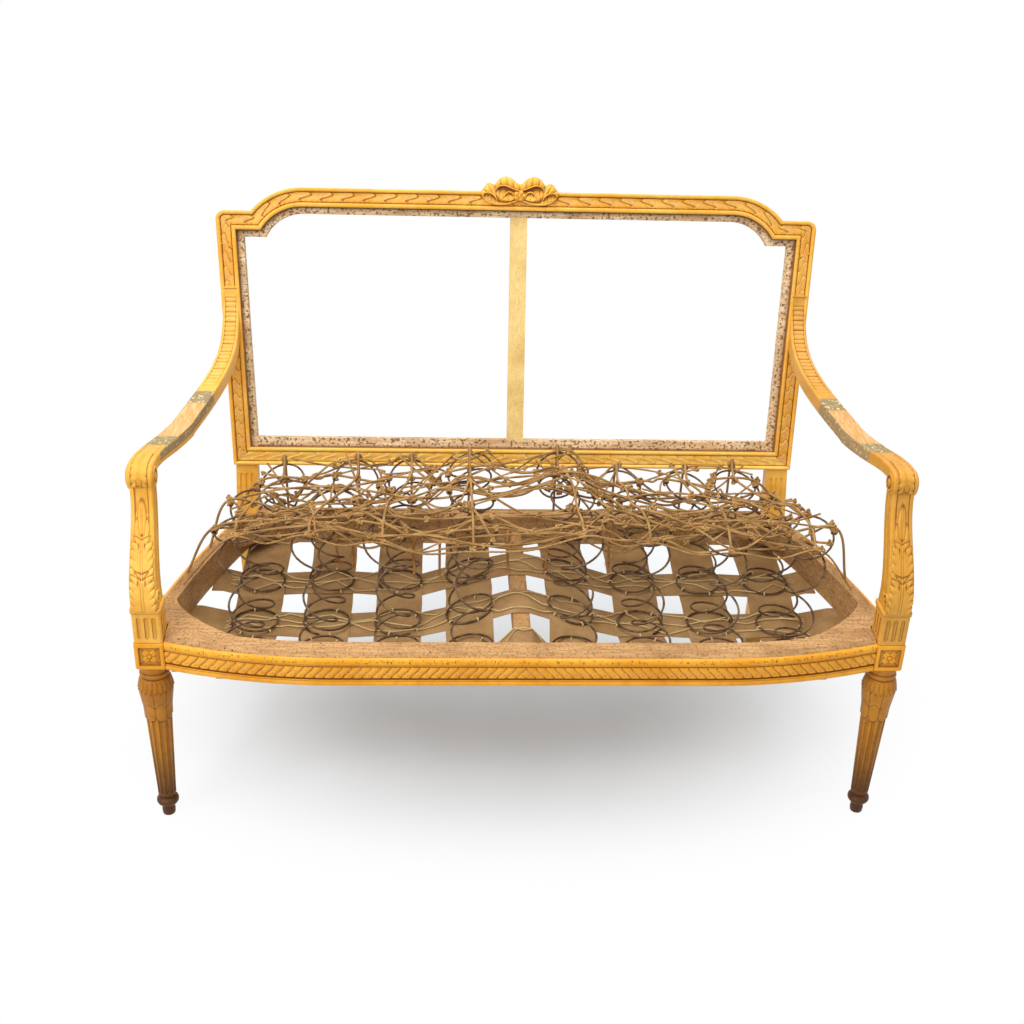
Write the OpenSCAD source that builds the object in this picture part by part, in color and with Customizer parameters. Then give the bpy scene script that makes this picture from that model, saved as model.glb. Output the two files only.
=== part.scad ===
// Open-backed settee with its upholstery taken off: carved show-wood frame,
// raw seat rails, woven jute webbing, hourglass springs and their lashing twine.
// Millimetres. X runs across the seat, the front faces -Y and Z is up.
// The origin is on the floor under the middle of the whole settee.

/* [Overall] */
// Distance between the axes of the front legs
leg_spread = 1200; // [1000:5:1700]
// Height of the carved top edge of the seat rails
seat_h = 361; // [330:1:420]
// Front leg axis to the front plane of the back at seat height
seat_depth = 397; // [370:1:520]
// Distance between the outer faces of the back posts at the seat
back_spread = 1028; // [880:2:1480]

/* [Front legs] */
// Side of the square block that takes the seat rails
block_w = 49; // [44:0.5:60]
// Radius of the turned capital under the block
capital_r = 27; // [22:0.5:29]
// Radius of the shaft at its top
shaft_top_r = 21.5; // [16:0.5:24]
// Radius of the shaft at its foot
shaft_foot_r = 15; // [12:0.5:18]
// Radius of the ring above the foot peg
ring_r = 18.6; // [15:0.2:22]
// Radius of the foot peg
peg_r = 11.3; // [9:0.1:14]
// Height of the foot peg
peg_h = 22; // [12:1:32]
// Height of the carved capital below the block
capital_h = 97; // [80:1:110]
// Number of flutes round the shaft
leg_flutes = 12; // [8:2:16]
// Radius of one leg flute
leg_flute_r = 2.6; // [1.5:0.1:3.2]
// Side of the sunk panel on the block
panel_w = 33; // [24:0.5:38]
// Depth of the sunk panel
panel_d = 2.5; // [1:0.1:4]

/* [Seat rails] */
// Height of the carved part of the rails
rail_h = 49; // [42:0.5:60]
// Thickness of the front rail
front_rail_t = 40; // [34:0.5:48]
// Thickness of the side rails
side_rail_t = 32; // [26:0.5:40]
// Thickness of the rear rail
rear_rail_t = 32; // [26:0.5:36]
// How far the front rail bows forward of its ends
front_bow = 43.5; // [20:0.5:60]
// Length of the straight middle of the front rail
front_straight = 600; // [300:10:800]
// How far a side rail bows outward
side_bow = 11; // [4:0.5:20]
// Height of the raw upholstery edge above the carved part
raw_rise = 8; // [4:0.5:12]
// Height of the bead along the top of the rail
bead_top_h = 12; // [8:0.5:14]
// Height of the bead along the bottom of the rail
bead_low_h = 11; // [8:0.5:14]
// Depth of the grooves beside the carved band
groove_d = 3.5; // [2:0.1:5]
// Width of the tack strip between bead and raw edge
tack_strip_w = 9; // [5:0.5:12]
// Reach of a corner block along the front rail
corner_reach = 118; // [80:1:150]
// Width of the bearer that runs from front to back
bearer_w = 29; // [24:1:40]
// Height of the bearer
bearer_h = 33; // [24:1:40]

/* [Back frame] */
// Lean of the back from upright, in degrees
back_rake = 17.2; // [10:0.2:20]
// Outward lean of each upright, in degrees
back_splay = 2.98; // [1:0.02:4]
// Thickness of the moulded back frame
back_t = 30; // [26:0.5:36]
// Width of the moulded frame with its rebate
frame_w = 45; // [40:0.5:52]
// Height of the bottom rail with its rebate
back_rail_h = 50; // [44:0.5:58]
// Width of the carved moulding
mould_w = 33; // [28:0.5:36]
// Width of the outer fillet
fillet_w = 6; // [4:0.5:8]
// Width of the inner fillet
inner_fillet_w = 7; // [4:0.5:8]
// Depth of the carved band below the fillets
band_d = 4; // [2:0.5:6]
// Depth of the tacking rebate below the fillets
rebate_d = 10; // [6:0.5:12]
// Distance up the back to the bottom edge of its bottom rail
back_low = 100.5; // [70:0.5:130]
// Distance up the back to the shoulders of the crest
shoulder_up = 558; // [480:1:640]
// Rise of the crest above its shoulders
crest_rise = 42; // [30:0.5:52]
// Radius of the arcs that carry the crest down to the shoulders
crest_arc_r = 120; // [100:1:150]
// Distance from the middle to the centre of a crest arc
crest_arc_x = 388; // [280:1:420]
// Radius of the shoulder's outer corner
shoulder_r = 16; // [8:0.5:24]
// Distance up the back to the joint under the crest rail
crest_joint = 500; // [440:1:505]
// Width of the upright between the two panes
mullion_w = 30; // [24:0.5:40]

/* [Crest ribbon] */
// Width of the carved ribbon over both outer loops
ribbon_w = 140; // [110:1:170]
// Rise of the ribbon above the crest
ribbon_rise = 29; // [20:0.5:36]
// Drop of the knot in front of the crest
ribbon_drop = 20; // [14:0.5:26]
// Thickness of the ribbon in front of the crest's fillets
ribbon_proud = 9; // [5:0.5:12]
// Radius of one large upper loop
loop_r = 21; // [16:0.5:24]
// Radius of one small outer loop
tail_r = 15; // [12:0.5:18]
// Radius of the round bud on the knot
bud_r = 7.5; // [5:0.5:10]

/* [Back posts] */
// Width of the plain post below the moulded frame
post_w = 39; // [32:0.5:44]
// Depth of the post at the seat
post_t = 42; // [36:0.5:50]
// Width of the rear foot
rear_foot_w = 28; // [22:0.5:34]
// Depth of the rear foot
rear_foot_t = 30; // [24:0.5:36]
// How far the rear foot stands behind the post
rear_foot_back = 44; // [20:1:80]
// Radius of a flute on the post
post_flute_r = 2.8; // [1.5:0.1:3.2]

/* [Armrests] */
// Distance up the back to the top of the arm joint
arm_up = 411; // [360:1:460]
// Thickness of the arm
arm_t = 28; // [24:0.5:34]
// Width of the arm at the post
arm_post_w = 29; // [24:0.5:33]
// Width of the arm at its scroll
arm_front_w = 41; // [36:0.5:46]
// Radius of the scroll
scroll_r = 21; // [18:0.5:24]
// Height of the scroll's centre above the seat rail
scroll_up = 245; // [220:1:275]
// Distance of the scroll's centre behind the front leg axis
scroll_back = 83.5; // [60:0.5:110]
// How far the scroll stands outside the leg axis
scroll_out = 8; // [0:0.5:16]
// Radius of the disc on each side of the scroll
volute_r = 12; // [8:0.5:15]
// How far that disc stands proud
volute_d = 2.5; // [1:0.1:4]

/* [Arm supports] */
// Height of the fluted base
base_h = 63; // [50:0.5:74]
// Height of the plate on top of the base
plate_h = 7; // [4:0.5:10]
// Side of the fluted part of the base
base_w = 46; // [42:0.5:48]
// Width of the carved support at its foot
support_foot_w = 47; // [42:0.5:50]
// Width of the carved support at its top
support_top_w = 36; // [32:0.5:42]
// Radius of a flute on the base
base_flute_r = 2.6; // [1.5:0.1:3.2]

/* [Webbing] */
// Width of one strap
strap_w = 80; // [50:1:84]
// Thickness of one strap
strap_t = 2; // [1.2:0.1:3]
// Distance from the middle to the first front-to-back strap
strap_first = 87; // [70:1:110]
// Distance between front-to-back straps
strap_pitch = 122; // [100:1:150]
// Width of the side-to-side straps
cross_w = 75; // [48:1:76]
// Sag of the webbing at the middle strap
strap_sag = 12; // [0:1:20]

/* [Springs] */
// Radius of the lowest ring of a spring
ring_low_r = 39; // [34:0.5:44]
// Radius of the waist of a spring
ring_waist_r = 24; // [20:0.5:30]
// Radius of the top ring of a spring
ring_top_r = 39; // [34:0.5:44]
// Radius of the spring wire
wire_r = 1.9; // [1.5:0.1:2.2]
// Height of the springs in the front row, leaning as they do
spring_front_h = 145; // [100:1:160]
// Height of the springs in the rear row, leaning as they do
spring_rear_h = 155; // [110:1:170]
// Number of turns in one spring
spring_turns = 3.75; // [3:0.25:4]

/* [Twine] */
// Radius of the lashing twine
twine_r = 2.2; // [1.5:0.1:2.6]
// Sag of the twine between two springs
twine_sag = 8; // [2:0.5:14]
// Length of the cut ends that hang from the front line
tail_l = 70; // [30:1:80]

/* [Hidden] */
$fn = 64;

// Clearances, overruns and joints
gap = 0.3;          // running clearance between neighbours
fit = 0.15;         // clearance of a glued joint
over = 2;           // overrun of a cut past the face it opens
half = 1 / 2;
tenon_t = 10;       // thickness of a tenon
tenon_l = 20;       // length of a tenon
tenon_shares = [0.24, 0.76]; // lower and upper edge of a rail tenon, of the rail's height

// Colours
gold = "#E0A43A";
raw_wood = "#C99F70";
pale_wood = "#EBCB86";
jute = "#A98250";
steel = "#5E4A33";
twine_colour = "#9A7844";

// Counts
cols_a_side = 4;    // front-to-back straps each side of the bearer
rows = 3;           // rows of springs
curve_steps = 14;   // straight pieces in one drawn curve
tube_sides = 6;     // sides of a wire or twine
turn_rings = 8;     // rings in one turn of a spring

// Main places, in the plan and from the floor
leg_x = leg_spread * half;
block_h = block_w * half;
rail_low = seat_h - rail_h;
raw_top = seat_h + raw_rise;
front_y = -block_h - front_bow;
front_in_y = front_y + front_rail_t;
straight_h = front_straight * half;
front_run = leg_x - block_h - straight_h;
front_r = (front_run * front_run + front_bow * front_bow) / (2 * front_bow);
front_centre_y = front_y + front_r;
post_out = back_spread * half;
post_front = seat_depth + post_t * 0.12;
rear_in_y = post_front - rear_rail_t * 0.25;

// Outer arc of a side rail, from the front block to the post
side_a = [leg_x + block_h - groove_d - fit, block_h];
side_b = [post_out - fit, post_front];
side_chord = norm(side_b - side_a);
side_r = side_chord * side_chord / (8 * side_bow) + side_bow * half;
side_mid = (side_a + side_b) * half;
side_dir = (side_b - side_a) / side_chord;
side_centre = side_mid + [-side_dir[1], side_dir[0]] * (side_r - side_bow);
function side_x(y, inset) = side_centre[0] + sqrt(pow(side_r - inset, 2) - pow(y - side_centre[1], 2));
function front_arc_y(x, inset) =
    abs(x) <= straight_h ? front_y + inset
    : front_centre_y - sqrt(pow(front_r - inset, 2) - pow(abs(x) - straight_h, 2));

// The back's own plane: across, up the slope, and forward out of its front face
crest_up = shoulder_up + crest_rise;
frame_splay = tan(back_splay);
stile_low_x = post_out - post_w * 0.04;
function back_y(up, out) = seat_depth + up * sin(back_rake) - out * cos(back_rake);
function back_z(up, out) = seat_h + up * cos(back_rake) + out * sin(back_rake);
function stile_x(up, inset) = stile_low_x + up * frame_splay - inset;
module on_back() translate([0, seat_depth, seat_h]) rotate([90 - back_rake, 0, 0]) children();

// The settee is drawn from the front leg axis, then centred on the origin
depth_mid = (front_y + back_y(crest_up, -back_t)) * half;
module centred() translate([0, -depth_mid, 0]) children();
module both_ways(side) { if (side < 0) mirror([1, 0, 0]) children(); else children(); }

// Points of an arc
function arc(centre, r, from, to, steps = curve_steps) =
    [for (k = [0:steps]) let(a = from + (to - from) * k / steps) centre + r * [cos(a), sin(a)]];
function flipped(points) = [for (k = [len(points) - 1:-1:0]) [-points[k][0], points[k][1]]];
function ease(t) = let(c = min(max(t, 0), 1)) c * c * (3 - 2 * c);
function bezier(a, b, c, d, steps = curve_steps) =
    [for (k = [0:steps]) let(t = k / steps, u = 1 - t)
        u * u * u * a + 3 * u * u * t * b + 3 * u * t * t * c + t * t * t * d];

// A tube of straight pieces round a list of points, with flat ends. Aside is a way that the
// points never run, so that the tube's walls don't twist
x_way = [1, 0, 0];
y_way = [0, 1, 0];
z_way = [0, 0, 1];
function tangent(p, k) = let(d = p[min(k + 1, len(p) - 1)] - p[max(k - 1, 0)]) d / norm(d);
function across(t, aside) = let(c = cross(t, aside)) c / norm(c);
module tube(points, r, aside, sides = tube_sides) {
    n = len(points);
    verts = [for (k = [0:n - 1]) let(t = tangent(points, k), u = across(t, aside), v = cross(u, t))
        for (s = [0:sides - 1]) let(a = 360 * s / sides) points[k] + r * (cos(a) * u + sin(a) * v)];
    walls = [for (k = [0:n - 2], s = [0:sides - 1])
        let(a = k * sides + s, b = k * sides + (s + 1) % sides, c = b + sides, d = a + sides)
        each [[a, b, c], [a, c, d]]];
    first = [for (s = [1:sides - 2]) [0, s + 1, s]];
    last = [for (s = [1:sides - 2]) let(o = (n - 1) * sides) [o, o + s, o + s + 1]];
    polyhedron(verts, concat(walls, first, last));
}

// Front legs: turned and fluted, with the square block in one piece
shaft_foot_z = peg_h + ring_r;
capital_z = rail_low - capital_h;
module leg_profile() {
    neck_r = shaft_foot_r * 0.86;
    polygon(concat(
        [[0, 0], [peg_r * 0.85, 0], [peg_r, peg_h * 0.4], [peg_r * 0.9, peg_h]],
        arc([ring_r - peg_h * 0.36, peg_h * 1.36], peg_h * 0.36, -90, 90, 8),
        [[neck_r, peg_h * 1.78], [shaft_foot_r, shaft_foot_z + peg_h * 0.2],
         [shaft_top_r, capital_z - peg_h * 0.5], [shaft_top_r * 1.08, capital_z - peg_h * 0.3],
         [shaft_top_r * 1.08, capital_z - peg_h * 0.1], [shaft_top_r * 0.96, capital_z],
         [shaft_top_r, capital_z + capital_h * 0.12]],
        [[capital_r * 0.93, capital_z + capital_h * 0.34], [capital_r, capital_z + capital_h * 0.52],
         [capital_r * 0.97, capital_z + capital_h * 0.66], [capital_r * 0.84, capital_z + capital_h * 0.78],
         [capital_r * 0.8, capital_z + capital_h * 0.84], [block_h * 0.96, capital_z + capital_h * 0.88],
         [block_h * 0.96, rail_low], [0, rail_low]]));
}
// A round-ended gouge cut, standing on its lower end
module flute(r, length) rotate_extrude($fn = 24)
    polygon([[0, 0], [r * 0.6, r * 0.3], [r, r], [r, length - r], [r * 0.6, length - r * 0.3], [0, length]]);
module leg_flute() {
    low = shaft_foot_z + peg_h * 0.35;
    high = capital_z - peg_h * 0.7;
    low_r = shaft_foot_r + (shaft_top_r - shaft_foot_r) * 0.1 + leg_flute_r * 0.45;
    high_r = shaft_top_r + leg_flute_r * 0.3;
    lean = atan((high_r - low_r) / (high - low));
    translate([low_r, 0, low]) rotate([0, lean, 0]) flute(leg_flute_r, (high - low) / cos(lean));
}
module rosette() translate([0, 0, -over]) {
    cylinder(h = panel_d + over, r = panel_w * 0.11, $fn = 32);
    for (a = [0:45:315]) rotate([0, 0, a]) translate([panel_w * 0.27, 0, 0])
        cylinder(h = panel_d * 0.6 + over, r = panel_w * 0.09, $fn = 24);
}
module front_leg(side) color(gold) both_ways(side) translate([leg_x, 0, 0]) {
    difference() {
        rotate_extrude() leg_profile();
        for (k = [0:leg_flutes - 1]) rotate([0, 0, 360 * (k + half) / leg_flutes]) leg_flute();
    }
    difference() {
        translate([-block_h, -block_h, rail_low]) cube([block_w, block_w, rail_h]);
        translate([-panel_w * half, -block_h - over, rail_low + (rail_h - panel_w) * half])
            cube([panel_w, panel_d + over, panel_w]);
        translate([block_h - panel_d, -panel_w * half, rail_low + (rail_h - panel_w) * half])
            cube([panel_d + over, panel_w, panel_w]);
        rail_tenon(front_tenon_y, fit);
        translate([tenon_t * half + fit, 0, 0]) rotate([0, 0, -90]) rail_tenon(0, fit);
    }
    translate([0, -block_h + panel_d, rail_low + rail_h * half]) rotate([90, 0, 0]) rosette();
    translate([block_h - panel_d, 0, rail_low + rail_h * half]) rotate([0, 90, 0]) rosette();
}
// A rail's tenon enters the block from its inner side
front_tenon_y = front_rail_t * half - block_h;
module rail_tenon(y, clear) {
    low = rail_low + rail_h * tenon_shares[0] - clear;
    high = rail_low + rail_h * tenon_shares[1] + clear;
    translate([-block_h - over, y - tenon_t * half - clear, low])
        cube([tenon_l + over + clear, tenon_t + 2 * clear, high - low]);
}

module front_leg_left() front_leg(-1);
module front_leg_right() front_leg(1);

// Section of a carved rail: x is 0 at its face and grows inward
module rail_section(t) {
    band_low = rail_low + bead_low_h;
    band_high = seat_h - bead_top_h;
    band_h = band_high - band_low;
    crown = groove_d * 0.8;
    polygon(concat(
        [[t, rail_low], [groove_d * 0.4, rail_low], [0, rail_low + bead_low_h * 0.3],
         [0, rail_low + bead_low_h * 0.7], [groove_d * 0.4, band_low], [groove_d, band_low]],
        [for (k = [1:7]) [groove_d - crown * sin(180 * k / 8), band_low + band_h * (0.1 + 0.1 * k)]],
        [[groove_d, band_high], [groove_d * 0.4, band_high], [0, band_high + bead_top_h * 0.3],
         [0, seat_h - bead_top_h * 0.3], [groove_d, seat_h], [tack_strip_w * 0.6, seat_h],
         [tack_strip_w + groove_d, raw_top], [t, raw_top]]));
}
module front_seat_rail() color(gold) {
    end_x = leg_x - block_h - fit;
    difference() {
        union() {
            translate([-straight_h, front_y, 0]) rotate([90, 0, 90])
                linear_extrude(front_straight) rail_section(front_rail_t);
            for (side = [-1, 1]) both_ways(side) translate([straight_h, front_centre_y, 0])
                rotate([0, 0, -90]) rotate_extrude(angle = 1.08 * asin(front_run / front_r), $fn = 360)
                    translate([front_r, 0]) mirror([1, 0]) rail_section(front_rail_t);
        }
        for (side = [-1, 1]) both_ways(side) translate([end_x, front_y - over, rail_low - over])
            cube([front_run, front_rail_t + front_bow + leg_x, rail_h + raw_rise + 2 * over]);
    }
    for (side = [-1, 1]) both_ways(side) translate([leg_x, 0, 0]) rail_tenon(front_tenon_y, 0);
}
// A side rail follows one long arc from the front block to the post
module side_rail(side) color(gold) both_ways(side) {
    start = atan2(side_a[1] - side_centre[1], side_a[0] - side_centre[0]);
    stop = atan2(side_b[1] - side_centre[1], side_b[0] - side_centre[0]);
    spare = (stop - start) * 0.06;
    difference() {
        translate([side_centre[0], side_centre[1], 0]) rotate([0, 0, start - spare])
            rotate_extrude(angle = stop - start + 2 * spare, $fn = 360)
                translate([side_r, 0]) mirror([1, 0]) rail_section(side_rail_t);
        translate([0, -leg_x, rail_low - over])
            cube([2 * leg_x, leg_x + block_h + fit, rail_h + raw_rise + 2 * over]);
        translate([0, post_front - fit, rail_low - over])
            cube([2 * leg_x, leg_x, rail_h + raw_rise + 2 * over]);
    }
    low = rail_low + rail_h * tenon_shares[0];
    high = rail_low + rail_h * tenon_shares[1];
    translate([leg_x + fit, block_h - tenon_l, low])
        cube([tenon_t, tenon_l + over, high - low]);
    translate([post_out - post_w * half - tenon_t * half, post_front - over, low])
        cube([tenon_t, tenon_l + over, high - low]);
}
module side_seat_rail_left() side_rail(-1);
module side_seat_rail_right() side_rail(1);

rear_rail_x = post_out - post_w - fit;
module rear_seat_rail() color(raw_wood) {
    low = rail_low + rail_h * tenon_shares[0];
    high = rail_low + rail_h * tenon_shares[1];
    translate([-rear_rail_x, rear_in_y, rail_low])
        cube([2 * rear_rail_x, rear_rail_t, rail_h + raw_rise]);
    for (side = [-1, 1]) both_ways(side)
        translate([rear_rail_x - over, post_front + fit + tenon_t * half, low])
            cube([tenon_l * half + over, tenon_t, high - low]);
}

// Blocks glued into the corners of the seat, level with the raw edge in front
corner_low = rail_low + rail_h * 0.4;
module front_corner(side) color(raw_wood) both_ways(side) {
    steps = 8;
    in_x = leg_x - block_h - fit;
    from_x = in_x - corner_reach;
    to_y = block_h + corner_reach * 0.62;
    start = [from_x, front_arc_y(from_x, front_rail_t) + fit];
    finish = [side_x(to_y, side_rail_t) - fit, to_y];
    along_front = [for (k = [0:steps]) let(x = from_x + (in_x - from_x) * k / steps)
        [x, front_arc_y(x, front_rail_t) + fit]];
    along_side = [for (k = [0:steps]) let(y = block_h + fit + (to_y - block_h - fit) * k / steps)
        [side_x(y, side_rail_t) - fit, y]];
    hollow = [start + [corner_reach * 0.34, corner_reach * 0.13], finish + [-corner_reach * 0.1, -corner_reach * 0.34]];
    inner = bezier(finish, hollow[1], hollow[0], start);
    translate([0, 0, corner_low]) linear_extrude(raw_top - corner_low)
        polygon(concat(along_front, [[in_x, block_h + fit]], along_side,
            [for (k = [1:len(inner) - 2]) inner[k]]));
}
module rear_corner(side) color(raw_wood) both_ways(side) {
    reach = corner_reach * 0.5;
    y = rear_in_y - fit;
    x = side_x(y, side_rail_t) - fit;
    translate([0, 0, corner_low]) linear_extrude(seat_h - corner_low)
        polygon([[x, y], [x - reach, y], [side_x(y - reach, side_rail_t) - fit, y - reach]]);
}
module front_corner_block_left() front_corner(-1);
module front_corner_block_right() front_corner(1);
module rear_corner_block_left() rear_corner(-1);
module rear_corner_block_right() rear_corner(1);

bearer_top = rail_low + bearer_h;
module centre_bearer() color(raw_wood) {
    round_r = bearer_w * 0.16;
    length = rear_in_y - front_in_y - 2 * fit;
    translate([0, front_in_y + fit + length, 0]) rotate([90, 0, 0]) linear_extrude(length) polygon(concat(
        [[-bearer_w * half, rail_low], [bearer_w * half, rail_low]],
        arc([bearer_w * half - round_r, bearer_top - round_r], round_r, 0, 90, 5),
        arc([-bearer_w * half + round_r, bearer_top - round_r], round_r, 90, 180, 5)));
}

// Outline of the back, drawn in by an inset at the top and sides and by another at the foot
function back_half(inset, foot) = let(
        top = shoulder_up - inset, r = crest_arc_r - inset, c_up = crest_up - crest_arc_r,
        round_r = max(shoulder_r - inset, fillet_w * 0.2),
        rise = asin((top - c_up) / r))
    concat([[stile_x(back_low + foot, inset), back_low + foot]],
        arc([stile_x(top, inset) - round_r, top - round_r], round_r, 0, 90, 6),
        arc([crest_arc_x, c_up], r, rise, 90));
module back_area(inset, foot) polygon(concat(back_half(inset, foot), flipped(back_half(inset, foot))));
module back_ring(outer, inner, inner_foot) difference() {
    back_area(outer, outer);
    back_area(inner, inner_foot);
}
module back_layer(from, to) translate([0, 0, from]) linear_extrude(to - from) children();

// The moulded frame in relief, kept to the part that one piece covers
module relief() {
    back_layer(-back_t, -rebate_d) intersection() {
        back_ring(0, frame_w, back_rail_h);
        children();
    }
    back_layer(-rebate_d, -band_d) intersection() {
        back_ring(0, mould_w, mould_w);
        children();
    }
    back_layer(-band_d, 0) intersection() {
        back_ring(0, fillet_w, fillet_w);
        children();
    }
    back_layer(-band_d, 0) intersection() {
        back_ring(mould_w - inner_fillet_w, mould_w, mould_w);
        children();
    }
}
wide = leg_x * 2;
module crest_area() translate([-wide * half, crest_joint]) square([wide, wide]);
module stile_area() polygon([
    [stile_x(back_low, frame_w), back_low], [wide, back_low],
    [wide, crest_joint - fit], [stile_x(crest_joint - fit, frame_w), crest_joint - fit]]);
module bottom_area() polygon([
    [-stile_x(back_low, frame_w) + fit, back_low], [stile_x(back_low, frame_w) - fit, back_low],
    [stile_x(back_low + back_rail_h, frame_w) - fit, back_low + back_rail_h],
    [-stile_x(back_low + back_rail_h, frame_w) + fit, back_low + back_rail_h]]);

// Tenons of the back frame, grown by a clearance for their mortises
tenon_in = -rebate_d - tenon_t * half;
module stile_tenon(clear) {
    w = frame_w * half;
    translate([stile_x(crest_joint, frame_w * half) - w * half - clear, crest_joint - over,
               tenon_in - tenon_t - clear])
        cube([w + 2 * clear, tenon_l + over + clear, tenon_t + 2 * clear]);
}
module bottom_tenon(clear) {
    h = back_rail_h * 0.6;
    translate([stile_x(back_low, frame_w) - over, back_low + (back_rail_h - h) * half - clear,
               tenon_in - tenon_t - clear])
        cube([tenon_l + over + clear, h + 2 * clear, tenon_t + 2 * clear]);
}
mullion_t = back_t - rebate_d - tenon_t * 0.2;
module mullion_tenon(clear) {
    w = mullion_w * 0.6;
    l = frame_w * 0.2;
    low = back_low + back_rail_h - l;
    high = crest_up - frame_w + l;
    translate([-w * half - clear, low - clear, tenon_in - tenon_t - clear])
        cube([w + 2 * clear, high - low + 2 * clear, tenon_t + 2 * clear]);
}
arm_joint_x = stile_x(arm_up, mould_w * half);
arm_tenon_w = arm_post_w * half;
module arm_tenon(clear) {
    h = tenon_l * 1.6;
    translate([arm_joint_x - arm_tenon_w * half - clear, arm_up - h * 1.75 - clear, -tenon_l * 0.75 - clear])
        cube([arm_tenon_w + 2 * clear, h + 2 * clear, tenon_l * 0.75 + over + clear]);
}

module crest_rail() color(gold) on_back() difference() {
    relief() crest_area();
    for (side = [-1, 1]) both_ways(side) stile_tenon(fit);
    mullion_tenon(fit);
}
module back_bottom_rail() color(gold) on_back() difference() {
    union() {
        relief() bottom_area();
        for (side = [-1, 1]) both_ways(side) bottom_tenon(0);
    }
    mullion_tenon(fit);
}
module back_mullion() color(pale_wood) on_back() {
    low = back_low + back_rail_h + fit;
    high = crest_up - frame_w - fit;
    back_layer(-rebate_d - mullion_t, -rebate_d) translate([-mullion_w * half, low]) square([mullion_w, high - low]);
    mullion_tenon(0);
}

// Ribbon bow carved from its own block and glued over the middle of the crest
module ribbon_outline() {
    loop_x = ribbon_w * 0.19;
    loop_up = crest_up + ribbon_rise - loop_r;
    tail_x = ribbon_w * half - tail_r;
    tail_up = crest_up - tail_r * 0.1;
    for (side = [-1, 1]) both_ways(side) {
        translate([loop_x, loop_up]) circle(r = loop_r);
        translate([tail_x, tail_up]) circle(r = tail_r);
        polygon([[0, crest_up - ribbon_drop * 0.7], [tail_x, tail_up - tail_r], [tail_x, tail_up + tail_r],
                 [loop_x, loop_up + loop_r], [0, crest_up + ribbon_rise * 0.45]]);
    }
    translate([0, crest_up - ribbon_drop + bud_r]) circle(r = bud_r);
}
module crest_ribbon() color(gold) on_back() difference() {
    union() {
        back_layer(-back_t * 0.6, ribbon_proud) ribbon_outline();
        translate([0, crest_up, ribbon_proud * 0.6]) sphere(r = bud_r, $fn = 48);
    }
    back_layer(-back_t, fit) translate([-ribbon_w, crest_up - 2 * ribbon_w])
        square([2 * ribbon_w, 2 * ribbon_w + fit]);
    for (side = [-1, 1]) both_ways(side)
        translate([ribbon_w * 0.19, crest_up + ribbon_rise - loop_r, ribbon_proud + loop_r * 0.9])
            sphere(r = loop_r, $fn = 48);
}

// Back posts: rear leg, plain fluted post and moulded stile in one piece
module post_side() polygon([
    [post_front, rail_low], [post_front, back_z(raw_rise, -band_d)],
    [back_y(back_low, -band_d), back_z(back_low, -band_d)],
    [back_y(back_low, -back_t), back_z(back_low, -back_t)],
    [post_front + post_t, raw_top], [post_front + post_t, rail_low],
    [post_front + rear_foot_back + rear_foot_t, 0], [post_front + rear_foot_back, 0]]);
module post_front_view() {
    mid = post_out - post_w * half;
    polygon([[mid - rear_foot_w * half, 0], [mid + rear_foot_w * half, 0], [post_out, rail_low],
             [post_out, seat_h + wide], [post_out - post_w, seat_h + wide], [post_out - post_w, rail_low]]);
}
module post_flutes() for (k = [-1:1]) {
    low = raw_rise * 3;
    high = back_low - raw_rise * 2;
    translate([post_out - post_w * half + k * post_w * 0.25, low, -band_d + post_flute_r * 0.3])
        rotate([-90, 0, 0]) flute(post_flute_r, high - low);
}
module back_post(side) color(gold) both_ways(side) {
    low = rail_low + rail_h * tenon_shares[0] - fit;
    high = rail_low + rail_h * tenon_shares[1] + fit;
    difference() {
        intersection() {
            rotate([90, 0, 90]) linear_extrude(wide) post_side();
            translate([0, wide, 0]) rotate([90, 0, 0]) linear_extrude(wide) post_front_view();
        }
        on_back() post_flutes();
        translate([post_out - post_w * half - tenon_t * half - fit, post_front - over, low])
            cube([tenon_t + 2 * fit, tenon_l + over + fit, high - low]);
        translate([post_out - post_w - over, post_front + tenon_t * half, low])
            cube([tenon_l * half + over + fit, tenon_t + 2 * fit, high - low]);
    }
    on_back() difference() {
        union() {
            relief() stile_area();
            stile_tenon(0);
        }
        bottom_tenon(fit);
        arm_tenon(fit);
    }
}
module back_post_left() back_post(-1);
module back_post_right() back_post(1);

// Arm seen from the side: a whip curve off the post, a dip and a scroll
arm_top = [back_y(arm_up, 0), back_z(arm_up, 0)];
scroll_c = [scroll_back, seat_h + scroll_up];
arm_run = arm_top[0] - scroll_c[0];
arm_drop = arm_top[1] - scroll_c[1] - scroll_r;
// Control points of the two curves, as shares of the arm's run and drop from its joint
whip_shares = [[0.052, 0.65], [0.224, 0.711], [0.592, 1.077]];
dip_shares = [[0.755, 1.13], [0.837, 1.016]];
function arm_point(share) = [arm_top[0] - share[0] * arm_run, arm_top[1] - share[1] * arm_drop];
arm_upper = concat(
    bezier(arm_top, arm_point(whip_shares[0]), arm_point(whip_shares[1]), arm_point(whip_shares[2])),
    [for (k = [1:curve_steps]) bezier(arm_point(whip_shares[2]), arm_point(dip_shares[0]),
        arm_point(dip_shares[1]), scroll_c + [0, scroll_r])[k]]);
function below(points, k, t) = let(d = tangent(points, k)) points[k] + t * [-d[1], d[0]];
module arm_side(grow) {
    lower = [for (k = [len(arm_upper) - 1:-1:0]) below(arm_upper, k, arm_t + grow)];
    polygon(concat([arm_upper[0] + [arm_t, arm_t]], arm_upper, lower));
    translate(scroll_c) circle(r = scroll_r + grow);
}
scroll_x = leg_x + scroll_out;
function arm_x(y) = arm_joint_x + (scroll_x - arm_joint_x)
    * ease((arm_top[0] - y - arm_run * 0.076) / (arm_run * 0.9));
function arm_half_w(y) = half * (arm_post_w + (arm_front_w - arm_post_w)
    * min(max((arm_top[0] - y) / arm_run, 0), 1));
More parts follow.
